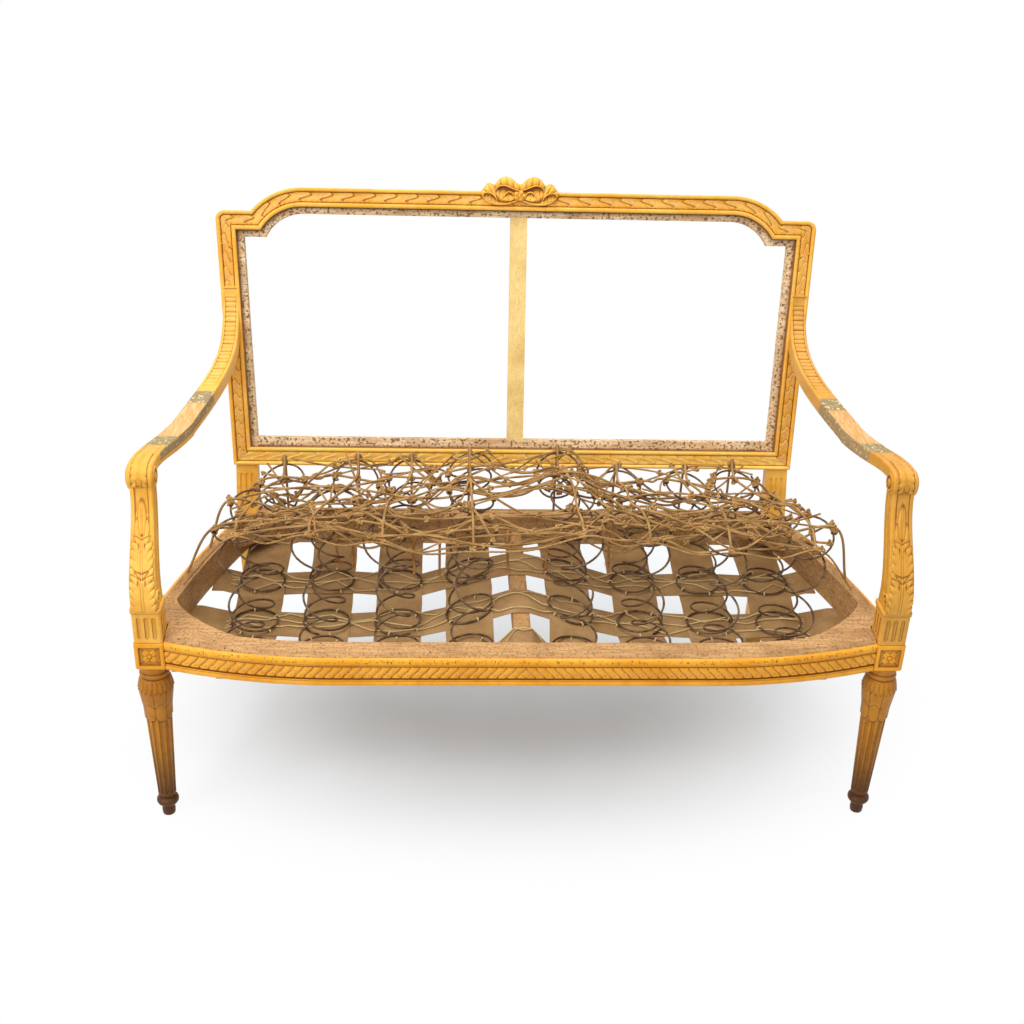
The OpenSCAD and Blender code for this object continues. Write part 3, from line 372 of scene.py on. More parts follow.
class Nodes:
    """A fresh material's node tree, its Principled shader, and the mixes that every finish uses."""

    def __init__(self, name: str) -> None:
        """Starts a material of this name with only its shader."""
        self.material = bpy.data.materials.new(name)
        self.material.use_nodes = True
        self.tree = self.material.node_tree
        self.shader = self.tree.nodes["Principled BSDF"]

    def add(self, kind: str, inputs: dict | None = None, out: str | int = 0, **settings: object) -> Socket:
        """Adds a node as add does, and hands back one of its outputs."""
        return add(self.tree, kind, inputs, **settings).outputs[out]

    def where(self, stretch: tuple[float, float, float] = (1, 1, 1)) -> Socket:
        """Object coordinates in metres, shrunk along an axis to draw a pattern out along it."""
        spot = self.add("TexCoord", out="Object")
        return self.add("Mapping", {"Vector": spot, "Scale": stretch})

    def patches(self, where: Socket, size_mm: float, low: float, high: float, detail: float = 3.0) -> Socket:
        """Clouds of about this size, spread from 0 to 1 between two levels."""
        cloud = self.add("TexNoise", {"Vector": where, "Scale": 1000.0 / size_mm, "Detail": detail}, "Fac")
        return self.add("MapRange", {"Value": cloud, "From Min": low, "From Max": high}, **SMOOTH)

    def dots(self, where: Socket, size_mm: float, edge: float, core: float) -> Socket:
        """Round dots in scattered cells of about this size: 0 outside the edge, 1 inside the core."""
        cell = self.add("TexVoronoi", {"Vector": where, "Scale": 1000.0 / size_mm}, "Distance", feature="F1")
        return self.add("MapRange", {"Value": cell, "From Min": edge, "From Max": core}, **SMOOTH)

    def over(self, body: Socket, code: str, share: Socket, most: Socket | float) -> Socket:
        """A colour laid over the body by a share, times the most that it may cover."""
        part = self.add("Math", {0: share, 1: most}, **TIMES)
        return self.add("Mix", {0: part, 6: body, 7: colour(code)}, 2, **RGBA)

    def bump(self, height: Socket, depth_mm: float, strength: float = 1.0) -> None:
        """Lays a height pattern on the shader, this many millimetres deep."""
        normal = self.add("Bump", {"Height": height, "Distance": depth_mm * 1e-3, "Strength": strength})
        self.tree.links.new(normal, self.shader.inputs["Normal"])

    def finish(self, body: Socket) -> Material:
        """Links the colour to the shader and hands the material over."""
        self.tree.links.new(body, self.shader.inputs["Base Color"])
        return self.material


@dataclass(frozen=True)
class PaintedBeech:
    """Carved beech in honey-gold oil paint: brown glaze in its hollows, painted shade under its beads, raw
    where it was rubbed off, and pale painted highlights on the back's leaves.
    """

    name: str = "painted_beech"
    gold: str = "#E9A83A"
    pale: str = "#F3B950"
    deep: str = "#CF8A28"
    glaze: str = "#8E4E10"
    chip: str = "#EBD3A0"
    rubbed: str = "#DFB580"
    wood: str = "#CC9858"
    dirt: str = "#94825E"
    foot: str = "#5E3210"
    foot_top_mm: float = 0.0
    roughness: float = 0.42

    def make(self) -> Material:
        """Cloudy gold; glaze and painted shade by the glaze mark; raw and dirty where marked; darker down to
        the feet.
        """
        n = Nodes(self.name)
        where = n.where()
        broad = n.patches(where, 80.0, 0.36, 0.64)
        body = n.add("Mix", {0: broad, 6: colour(self.gold), 7: colour(self.pale)}, 2, **RGBA)
        body = n.over(body, self.deep, n.patches(where, 11.0, 0.42, 0.72, 4.0), 0.3)
        if self.foot_top_mm:
            height = n.add("SeparateXYZ", {"Vector": where}, "Z")
            low = {"Value": height, "From Min": self.foot_top_mm * 1e-3, "From Max": 0.012}
            body = n.over(body, self.foot, n.add("MapRange", low, **SMOOTH), 0.92)
        # The glaze mark: real brown glaze in the carving's hollows, and painted shade under the inner bead of
        # the back's frame.
        deep = n.add("Attribute", out="Fac", attribute_name="glaze")
        stain = n.add("MapRange", {"Value": deep, "From Min": 0.05, "From Max": 0.85}, **SMOOTH)
        body = n.over(body, self.glaze, stain, 0.92)
        chips = {0: n.dots(where, 20.0 / 3.0, 0.14, 0.08), 1: n.patches(where, 30.0, 0.6, 0.68)}
        body = n.over(body, self.chip, n.add("Math", chips, **TIMES), 0.6)
        streaks = n.patches(n.where(Grain.DEEP.value), 4.0, 0.35, 0.7, 5.0)
        gone, soil = (n.add("Attribute", out="Fac", attribute_name=name) for name in ("bare", "soil"))
        raw = n.add("Mix", {0: streaks, 6: colour(self.wood), 7: colour(self.rubbed)}, 2, **RGBA)
        # The bare mark: rubbed paint, and on the back's leaf band a painted highlight as well.
        body = n.add("Mix", {0: gone, 6: body, 7: raw}, 2, **RGBA)
        body = n.over(body, self.dirt, soil, n.patches(where, 9.0, 0.1, 0.5, 4.0))
        flecks = n.add("Math", {0: soil, 1: n.patches(where, 5.0, 0.58, 0.63, 4.0)}, **TIMES)
        body = n.over(body, self.chip, flecks, 0.8)
        rough = n.add("MapRange", {"Value": gone, "To Min": self.roughness, "To Max": 0.75})
        n.tree.links.new(rough, n.shader.inputs["Roughness"])
        n.shader.inputs["IOR"].default_value = 1.48
        n.shader.inputs["Specular IOR Level"].default_value = 0.28
        brush = n.add("TexNoise", {"Vector": where, "Scale": 1000.0 / 3.0, "Detail": 5.0}, "Fac")
        n.bump(brush, 0.22, 0.5)
        return n.finish(body)


@dataclass(frozen=True)
class BareBeech:
    """Unpainted beech, sawn and planed, greyed by dust and pitted by rows of old tacks."""

    name: str = "bare_beech"
    grain: Grain = Grain.ACROSS
    wood: str = "#BE8F58"
    light: str = "#CFA26C"
    dark: str = "#8A6136"
    hole: str = "#4A3018"
    tacks: float = 0.5
    speck: float = 0.14
    speck_mm: float = 3.2

    def make(self) -> Material:
        """Long streaks of grain in two sizes, dust in clouds, dark holes of 2 mm where tacks were, and
        painted shade where the glaze mark lies.
        """
        n = Nodes(self.name)
        where, plain = n.where(self.grain.value), n.where()
        streaks = n.patches(where, 4.0, 0.35, 0.68, 5.0)
        body = n.add("Mix", {0: streaks, 6: colour(self.wood), 7: colour(self.light)}, 2, **RGBA)
        body = n.over(body, self.dark, n.patches(where, 1.4, 0.6, 0.72, 2.0), 0.45)
        body = n.over(body, self.dark, n.patches(plain, 60.0, 0.42, 0.7), 0.5)
        holes = {0: n.dots(plain, 13.0, 0.15, 0.09), 1: n.patches(plain, 45.0, 0.45, 0.6)}
        body = n.over(body, self.hole, n.add("Math", holes, **TIMES), self.tacks)
        body = n.over(body, self.hole, n.patches(plain, self.speck_mm, 0.53, 0.6), self.speck)
        # Painted shade: the hole colour laid by the glaze mark in the corners of the rebates.
        body = n.over(body, self.hole, n.add("Attribute", out="Fac", attribute_name="glaze"), 0.85)
        n.shader.inputs["Roughness"].default_value = 0.72
        n.shader.inputs["Specular IOR Level"].default_value = 0.3
        n.bump(streaks, 0.3, 0.5)
        return n.finish(body)


@dataclass(frozen=True)
class JuteWebbing:
    """Plain-woven jute webbing, brown and dusty; threads 2 mm apart, drawn at 3 mm so that they show."""

    name: str = "jute_webbing"
    thread_mm: float = 3.0
    body: str = "#9C7646"
    light: str = "#B08A58"
    dark: str = "#6A4A28"

    def make(self) -> Material:
        """Warp and weft as two crossed rows of ridges on the strap's own length and width."""
        n = Nodes(self.name)
        uv = n.add("TexCoord", out="UV")
        ridges = []
        for axis in ("X", "Y"):
            run = n.add("SeparateXYZ", {"Vector": uv}, axis)
            turn = n.add("Math", {0: run, 1: 2000.0 * math.pi / self.thread_mm}, **TIMES)
            ridges.append(n.add("Math", {0: turn}, operation="SINE"))
        weave = n.add("Math", {0: ridges[0], 1: ridges[1]}, **TIMES)
        where = n.where()
        dusty = n.patches(where, 40.0, 0.35, 0.65)
        body = n.add("Mix", {0: dusty, 6: colour(self.body), 7: colour(self.light)}, 2, **RGBA)
        # Painted shade where the weave dips between the threads.
        low = n.add("MapRange", {"Value": weave, "From Min": 0.2, "From Max": -0.9}, **SMOOTH)
        body = n.over(body, self.dark, low, 0.5)
        body = n.over(body, self.dark, n.patches(where, 2.5, 0.5, 0.72, 4.0), 0.4)
        n.shader.inputs["Roughness"].default_value = 0.9
        n.bump(weave, 0.4, 0.7)
        return n.finish(body)


@dataclass(frozen=True)
class SpringSteel:
    """Hard-drawn steel spring wire, its copper wash gone brown with rust."""

    name: str = "spring_steel"
    metal: str = "#6E5638"
    rust: str = "#4C2F18"

    def make(self) -> Material:
        """Dull bronze metal with patches of matt rust."""
        n = Nodes(self.name)
        where = n.where()
        rusty = n.patches(where, 12.0, 0.4, 0.62, 4.0)
        body = n.add("Mix", {0: rusty, 6: colour(self.metal), 7: colour(self.rust)}, 2, **RGBA)
        n.shader.inputs["Metallic"].default_value = 0.45
        n.shader.inputs["Roughness"].default_value = 0.5
        pits = n.add("TexNoise", {"Vector": where, "Scale": 1000.0 / 2.0, "Detail": 3.0}, "Fac")
        n.bump(pits, 0.1, 0.5)
        return n.finish(body)


@dataclass(frozen=True)
class JuteTwine:
    """Three-strand jute laid cord, hairy and dusty; darker between its strands."""

    name: str = "jute_twine"
    body: str = "#A17843"
    light: str = "#BE945A"
    dark: str = "#684720"

    def make(self) -> Material:
        """Colour by clouds of 25 mm, shaded where the strands meet, with a fine hairy bump."""
        n = Nodes(self.name)
        where = n.where()
        dusty = n.patches(where, 25.0, 0.36, 0.64)
        body = n.add("Mix", {0: dusty, 6: colour(self.body), 7: colour(self.light)}, 2, **RGBA)
        between = n.add("Attribute", out="Fac", attribute_name="glaze")
        shade = n.add("MapRange", {"Value": between, "From Min": 0.3, "From Max": 1.0}, **SMOOTH)
        body = n.over(body, self.dark, shade, 0.65)
        fibre = n.add("TexNoise", {"Vector": where, "Scale": 1000.0 / 1.2, "Detail": 3.0}, "Fac")
        hairs = n.add("MapRange", {"Value": fibre, "From Min": 0.52, "From Max": 0.7}, **SMOOTH)
        body = n.over(body, self.dark, hairs, 0.4)
        n.shader.inputs["Roughness"].default_value = 0.92
        n.bump(fibre, 0.3, 0.6)
        return n.finish(body)


# ---- carving


def lobes(run: Array, pitch: float) -> tuple[Array, Array]:
    """Rounded ridges with sharp hollows: height is the half circle over each pitch.

    Returns:
        The height from 0 to 1, and the glaze, which is 1 in the hollow.
    """
    across = 2.0 * (run / pitch - np.floor(run / pitch)) - 1.0
    height = np.sqrt(np.maximum(1.0 - across**2, 0.0))
    return height, hold(1.15 - 1.7 * height)


def gadroon(x: Array, t: Array, pitch: float = 15.3) -> tuple[Array, Array]:
    """Slanted gadroons that mirror at the rail's middle, each with a drilled dot low down.

    A ridge's place is |x| + half a pitch times 1 + sin(pi t / 2); its ends are rounded off.

    Args:
        x: distance along the rail from where the pattern mirrors, in millimetres.
        t: place up the band, -1 at its foot to 1 at its top.
        pitch: distance between two ridges.

    Returns:
        The height from 0 to 1 and the glaze.
    """
    run = np.abs(x) + pitch * 0.5 + 0.5 * pitch * np.sin(0.5 * np.pi * t)
    height, glaze = lobes(run, pitch)
    ends = np.sqrt(np.maximum(1.0 - np.abs(t) ** 5, 0.0))
    dot_run = (run / pitch - np.floor(run / pitch) - 0.5) * pitch
    dot = np.exp(-((dot_run / 1.3) ** 2) - ((t + 0.35) / 0.13) ** 2)
    height = height * (0.35 + 0.65 * ends) * ends * (1.0 - 0.35 * dot)
    return height, hold(glaze + 0.75 * dot + (1.0 - ends) ** 2)


def laurel(run: Array, t: Array, pitch: float) -> tuple[Array, Array, Array]:
    """A running leaf along a band: slanted leaves that overlap like roof tiles.

    With v the share of a pitch run, bent by 0.3 sin(pi t / 2) + 0.1 sin(3 pi t / 2), a leaf rises as
    v^0.7 and drops at its lip from v = 0.86; three veins cross it, and its back is pale: rubbed paint
    and a painted highlight.

    Args:
        run: distance along the band, in millimetres, growing towards the leaves' tips.
        t: place across the band from -1 to 1.
        pitch: length of a leaf that shows.

    Returns:
        The height from 0 to 1, the glaze, and how pale the leaf's back is: rubbed paint and painted
        highlight.
    """
    v = run / pitch + 0.3 * np.sin(0.5 * np.pi * t) + 0.1 * np.sin(1.5 * np.pi * t)
    v = v - np.floor(v)
    vein = np.abs(np.sin(np.pi * (3.0 * v + 0.9 * t**2)))
    rise = v**0.7 * (1.0 - ease((v - 0.86) / 0.1))
    height = 0.15 + 0.85 * rise * (0.86 + 0.14 * vein)
    glaze = 0.75 * bell(v - 0.95, 0.05) + 0.3 * (1 - v) ** 3 + 0.5 * hold(1.0 - 2.4 * vein)
    glaze = glaze + 0.35 * hold(np.abs(t) * 4.0 - 3.0)
    # Pale on each leaf's back: rubbed paint, and a painted highlight as well.
    pale = np.exp(-(((v - 0.6) / 0.2) ** 2) - ((t + 0.15) / 0.6) ** 2)
    return hold(height), hold(glaze), pale


@dataclass
class Plan:
    """Main sizes of the settee, in millimetres and degrees, as the solids have them."""

    leg_x: float = 600.0
    block_h: float = 24.5
    rail_low: float = 312.0
    seat_h: float = 361.0
    raw_top: float = 369.0
    front_y: float = -68.0
    straight: float = 300.0
    front_r: float = 894.18
    groove: float = 3.5
    rear_in_y: float = 394.04
    depth: float = 397.0
    rake: float = 17.2
    splay: float = 2.98
    stile_low: float = 512.44
    back_low: float = 100.5
    shoulder_up: float = 558.0
    crest_up: float = 600.0
    arc_r: float = 120.0
    arc_x: float = 388.0
    shoulder_r: float = 16.0
    crest_joint: float = 500.0
    mould_w: float = 33.0
    mould_mid: float = 16.0
    front_t: float = 40.0
    post_y: float = 402.04
    bearer_half: float = 14.8

    def on_back(self, x: Array, up: Array, out: Array) -> Array:
        """Points of the back's own plane: across, up its slope, and out of its front face."""
        a = math.radians(self.rake)
        y = self.depth + up * math.sin(a) - out * math.cos(a)
        return grid(x, y, self.seat_h + up * math.cos(a) + out * math.sin(a))

    def stile_x(self, up: Array, inset: Array) -> Array:
        """Outer edge of the back's frame at a height up the slope, drawn in by an inset."""
        return self.stile_low + up * math.tan(math.radians(self.splay)) - inset

    def front_y_at(self, x: Array, inset: Array) -> Array:
        """Face of the front rail: straight in the middle, an arc at each end."""
        centre = self.front_y + self.front_r
        return centre - np.sqrt((self.front_r - inset) ** 2 - np.maximum(np.abs(x) - self.straight, 0.0) ** 2)

    def side_x_at(self, y: Array, inset: Array) -> Array:
        """Outer face of a side rail, one long arc from the front block to the post."""
        a = np.array([self.leg_x + self.block_h - self.groove - 0.15, self.block_h])
        b = np.array([514.0 - 0.15, self.post_y])
        chord, bow = float(np.linalg.norm(b - a)), 11.0
        r = chord * chord / (8 * bow) + bow / 2
        d = (b - a) / chord
        centre = (a + b) / 2 + np.array([-d[1], d[0]]) * (r - bow)
        return centre[0] + np.sqrt((r - inset) ** 2 - (y - centre[1]) ** 2)


# ---- the back


@dataclass
class BackFrame:
    """The moulded frame of the back: carved skins over the crest rail, stiles and bottom rail."""

    plan: Plan
    step: float = 1.5
    crest_pitch: float = 38.0
    stile_pitch: float = 25.0
    bottom_pitch: float = 31.0
    depth: float = 3.7
    rebate: tuple[float, ...] = (-12.0, -9.5, -9.6, -9.5, -9.6, -9.8, -10.4, -29.0, -29.0, -12.0)

    def outline(self, inset: Array) -> Array:
        """Right half of the frame's outline for each inset, from the stile's foot to the crest's middle.

        Straight up the stile, round the shoulder, along its flat, up the crest's arc, then straight.

        Returns:
            An array (points, insets, 2) of x and distance up the slope.
        """
        p = self.plan
        inset = np.asarray(inset, float)
        top = p.shoulder_up - inset
        rr = np.maximum(p.shoulder_r - inset, 1.2)
        foot = p.back_low + np.clip(inset, 0.0, p.mould_w + 0.35)
        r = p.arc_r - inset
        c_up = p.crest_up - p.arc_r
        rise = np.arcsin((top - c_up) / r)

        def share(count: int, last: bool = False) -> Array:
            return (np.arange(count + (1 if last else 0)) / count)[:, None]

        up = mix(foot, top - rr, share(int(430 / self.step)))
        stile = grid(p.stile_x(up, inset), up)
        a = share(10) * np.pi / 2
        corner_x = p.stile_x(top, inset)
        corner = grid(corner_x - rr + rr * np.cos(a), top - rr + rr * np.sin(a))
        x = mix(corner_x - rr, p.arc_x + r * np.cos(rise), share(18))
        flat = grid(x, top)
        a = mix(rise, np.pi / 2, share(64))
        arc = grid(p.arc_x + r * np.cos(a), c_up + r * np.sin(a))
        x = mix(np.full_like(inset, p.arc_x), np.zeros_like(inset), share(int(388 / self.step), True))
        crown = grid(x, p.crest_up - inset)
        return np.concatenate([stile, corner, flat, arc, crown])

    def section(self) -> tuple[Array, Array, Array]:
        """Section of the carved moulding: inset and height of each point, and its place across the band.

        Two rounded beads stand 1.5 mm over the solid's fillets; the band between them lies at the
        depth of its ground and is raised by the carving. The last points run back inside the solid.
        """
        edge = [
            (1.5, -6.5), (-0.35, -6.0), (-0.35, -1.0), (0.2, 0.6), (1.4, 1.3), (3.0, 1.6), (4.7, 1.2),
            (5.9, 0.3), (6.4, -2.2),
        ]
        ground = [(i, -3.8) for i in np.linspace(7.0, 25.0, 17)]
        inner = [
            (25.6, -2.2), (26.1, 0.3), (27.3, 1.2), (29.4, 1.6), (31.6, 1.2), (32.9, 0.4), (33.35, -1.2),
            (33.35, -9.0), (31.0, -9.0),
        ]
        points = np.array(edge + ground + inner)
        t = np.clip((points[:, 0] - self.plan.mould_mid) / 9.0, -1.3, 1.3)
        carved = np.zeros(len(points), bool)
        carved[len(edge) : len(edge) + len(ground)] = True
        return points[:, 0], points[:, 1], np.where(carved, t, 9.0)

    def dress(self, run: Array, pitch: float, stain: float = 0.8) -> tuple[Array, Array, Array]:
        """Raised height, glaze with a painted shadow under the inner bead, and pale places of rubbed paint
        and painted highlight, over the section for each distance along it.

        Args:
            run: distance along the band from where the leaves start, (n,).
            pitch: length of one leaf.
            stain: how much of the glaze stays in the carving.
        """
        inset, out, t = self.section()
        carved = np.abs(t) < 2.0
        height, glaze, pale = laurel(run[:, None], np.where(carved, t, 0.0), pitch)
        edge = np.sqrt(hold(1.0 - np.where(carved, np.abs(t), 1.0) ** 6))
        out = out + np.where(carved, self.depth * height * edge, 0.0)
        line = 0.55 * bell(inset - 6.7, 0.6) + 0.4 * bell(inset - 25.2, 0.8)
        # Painted shadow: the inner bead's wall down into the rebate is darkened as the shade under the bead.
        line = line + (inset > 32.95) + 0.5 * (inset > 31.9)
        glaze = np.where(carved, glaze * stain, 0.0) + line
        return out, hold(glaze), np.where(carved, 0.85 * pale, 0.0)

    def stretch(self, inset: Array, reach: tuple[float, float]) -> tuple[Array, Array]:
        """The outline for each inset between two heights up the slope.

        Args:
            inset: insets of the section's points.
            reach: lowest and highest distance up the slope.

        Returns:
            The points (n, insets, 2), and the distance of each row from the crest's middle.
        """
        mid = self.outline(np.array([self.plan.mould_mid]))[:, 0]
        run = lengths(mid)
        keep = (mid[:, 1] >= reach[0]) & (mid[:, 1] <= reach[1])
        return self.outline(inset)[keep], (run[-1] - run)[keep]

    def skin(
        self, name: str, side: Side | None, line: Array, out: Array, marks: tuple, wood: Material
    ) -> None:
        """A skin on the back: on one side, or with a mirrored left half where no side is given.

        Args:
            name: name of the piece.
            side: LEFT or RIGHT, or None for both.
            line: its rows of points, right half.
            out: how far each point stands out of the back's plane.
            marks: glaze, and how far the paint is gone.
            wood: its finish.
        """
        if side is None:
            line = np.concatenate([line, (line[::-1] * (-1.0, 1.0))[1:]])
        sign = float(side.value) if side else 1.0
        Shape().loft(self.plan.on_back(line[..., 0] * sign, line[..., 1], out), *marks).build(name, wood)

    def half_frame(
        self, word: str, side: Side | None, reach: tuple[float, float], paint: Material, wood: Material
    ) -> None:
        """Carved skin and raw tacking rebate of a stile, or of the whole crest where no side is given."""
        line, run = self.stretch(self.section()[0], reach)
        out, glaze, pale = self.dress(-run, self.stile_pitch if side else self.crest_pitch)
        if side is None:
            out, glaze, pale = (np.concatenate([a, a[::-1][1:]]) for a in (out, glaze, pale))
        end = f"_{side.word}" if side else ""
        self.skin(f"{word}_carving{end}", side, line, out, (glaze, pale), paint)
        inset = np.array([33.5, 33.5, 36.0, 39.5, 43.0, 45.1, 45.35, 45.35, 44.0, 35.0])
        line, _ = self.stretch(inset, reach)
        rows = len(line) if side else 2 * len(line) - 1
        self.skin(f"{word}_rebate{end}", side, line, self.torn(rows, 5), (self.corner_shade(inset),), wood)

    def torn(self, rows: int, seed: int) -> Array:
        """Heights of a rebate's section, its floor roughened by torn specks and threads."""
        out = np.array(self.rebate)
        return out + noise((rows, len(out)), seed, 0.18) * (np.abs(out + 9.6) < 0.5)

    def corner_shade(self, inset: Array) -> Array:
        """Painted shade in the corner between the moulding and the rebate's floor."""
        return hold(1.0 - (inset - 33.5) / 3.4)

    def bottom(self, paint: Material, wood: Material) -> None:
        """Carved skin and raw rebate of the bottom rail, mitred into the stiles' mouldings."""
        p, half_run = self.plan, 490.0
        share = np.linspace(-1.0, 1.0, int(2 * half_run / self.step))[:, None]
        inset = self.section()[0]
        out, glaze, pale = self.dress(np.abs(share[:, 0]) * half_run, self.bottom_pitch, 0.45)
        x = share * p.stile_x(p.back_low + inset, np.minimum(inset, 33.35))
        line = grid(x, p.back_low + inset)
        self.skin("bottom_rail_carving", Side.RIGHT, line, out, (glaze, pale), paint)
        inset = np.array([33.5, 33.5, 38.0, 43.0, 48.0, 50.1, 50.35, 50.35, 49.0, 35.0])
        line = grid(share * p.stile_x(p.back_low + inset, 44.9), p.back_low + inset)
        marks = (self.corner_shade(inset),)
        self.skin("bottom_rail_rebate", Side.RIGHT, line, self.torn(len(line), 9), marks, wood)

    def build(self, paint: Material, lower: Material, wood: Material) -> None:
        """Makes the skins of the crest, both stiles and the bottom rail."""
        joint = self.plan.crest_joint
        self.half_frame("crest", None, (joint, 900.0), paint, wood)
        for side in Side:
            self.half_frame("stile", side, (0.0, joint + 1.0), paint, wood)
        self.bottom(lower, wood)


# ---- turned and carved pieces


def square(count: int) -> tuple[Array, Array, Array, Array]:
    """Outline of a square from -1 to 1 with rounded corners, count points a face.

    A point on the sharp square is drawn in by (|x|^12 + |y|^12)^(-1/12). Faces come in the order
    front, right, rear, left.

    Returns:
        The points (4 count, 2), their faces' outward directions, the place along each face from -1
        to 1 (to the right for front and rear, to the rear for the sides), and the face's number.
    """
    u = (np.arange(count) + 0.5) / count * 2 - 1
    one = np.ones(count)
    points = np.stack([np.concatenate([u, one, -u, -one]), np.concatenate([-one, u, one, -u])], axis=1)
    points = points / ((np.abs(points) ** 12).sum(axis=1) ** (1 / 12))[:, None]
    ways = np.repeat(np.array([[0.0, -1.0], [1.0, 0.0], [0.0, 1.0], [-1.0, 0.0]]), count, axis=0)
    return points, ways, np.concatenate([u, u, -u, -u]), np.repeat(np.arange(4), count)


def gouge(u: Array, z: Array, places: tuple[float, ...], r: float, low: float, high: float) -> Array:
    """Depth of round-ended gouge cuts, in shares of r: 1 at the middle of a cut, 0 off it."""
    end = np.maximum(np.maximum(low + r - z, z - high + r), 0.0)
    deep = np.zeros(np.broadcast(u, z).shape)
    for place_u in places:
        away = np.hypot(u - place_u, end) / r
        deep = np.maximum(deep, np.sqrt(hold(1.0 - away**2)))
    return deep


def rosette(u: Array, w: Array, half: float) -> tuple[Array, Array]:
    """A sunk square with a four-petalled flower; heights in millimetres and glaze.

    The petals lie on the diagonals: radius half (0.28 + 0.58 |sin 2a|^0.8), with a boss in the middle.
    """
    far = np.maximum(np.abs(u), np.abs(w))
    sunk = ease((half - far) / 1.2)
    r, a = np.hypot(u, w), np.arctan2(w, u)
    reach = half * (0.28 + 0.58 * np.abs(np.sin(2 * a)) ** 0.8)
    petal = hold(1.0 - (r / reach) ** 2) ** 0.5
    groove = bell(np.abs(np.abs(a) % (np.pi / 2) - np.pi / 4) * r, 0.7) * (r > 4.0)
    boss = hold(1.0 - (r / (0.2 * half)) ** 2) ** 0.5
    ring = bell(r - 0.24 * half, 0.7)
    height = -2.6 * sunk + 2.3 * petal * sunk * (1 - 0.25 * groove) + 1.2 * boss - 0.9 * ring
    glaze = sunk * (0.3 * (petal < 0.02) + 0.6 * bell(petal - 0.2, 0.16) + 0.5 * groove) + 0.8 * ring
    return height, hold(glaze + 0.75 * bell(half - far, 0.9))


def acanthus(x: Array, y: Array, half: float, tall: float, rounded: bool) -> tuple[Array, Array, Array]:
    """A carved leaf that fans out of its foot: its edge, relief and glaze.

    Where rounded, lobes are ridges along rays from the foot and the edge is an ellipse; otherwise
    lobes rise outward along lines of equal y - 0.75 x every 12 mm, near the edge only, and the edge
    is a box with round corners. The edge is scalloped where lobes meet; lobes curl up at their ends,
    veins run between them, and a double groove marks the midrib.

    Args:
        x: distance from the midrib, in millimetres.
        y: height over the leaf's foot.
        half: half the leaf's width.
        tall: height of the leaf.
        rounded: the leaf ends as an ellipse and not as a collar.

    Returns:
        How far inside the edge the point lies in shares of half, height from 0 to 1, and glaze.
    """
    x, low = np.abs(x), np.maximum(y + 0.1 * tall, 0.01)
    turn = 4.5 * np.arctan2(x, low) / (0.5 * np.pi) if rounded else (y - 0.75 * x) / 12.0
    lobe = np.abs(np.sin(np.pi * (turn + 0.5)))
    power = 2 if rounded else 6
    edge = (0.82 + 0.18 * lobe**0.6) * (1.0 if rounded else 1.04)
    inside = edge - ((x / half) ** power + (low / (1.1 * tall)) ** power) ** (1 / power)
    swell = hold(inside * 4.0) ** 0.5
    curl = bell(inside - 0.16, 0.16)
    rib = bell(x / half - 0.09, 0.045)
    near_edge = 1.0 if rounded else ease((x / half - 0.3) / 0.35)
    lobe = 1.0 - (1.0 - lobe) * near_edge
    vein = hold(1.0 - 2.6 * lobe)
    height = swell * (0.55 + 0.2 * lobe + 0.25 * curl * lobe) * (1 - 0.25 * vein) - 0.2 * rib
    glaze = 0.6 * vein + 0.5 * rib + 0.55 * bell(inside - 0.02, 0.045)
    eye = np.exp(-(((x / half - 0.26) / 0.07) ** 2) - ((y / tall - 0.8) / 0.08) ** 2)
    return inside, hold(height), hold(glaze + (0.0 if rounded else 0.9) * eye)


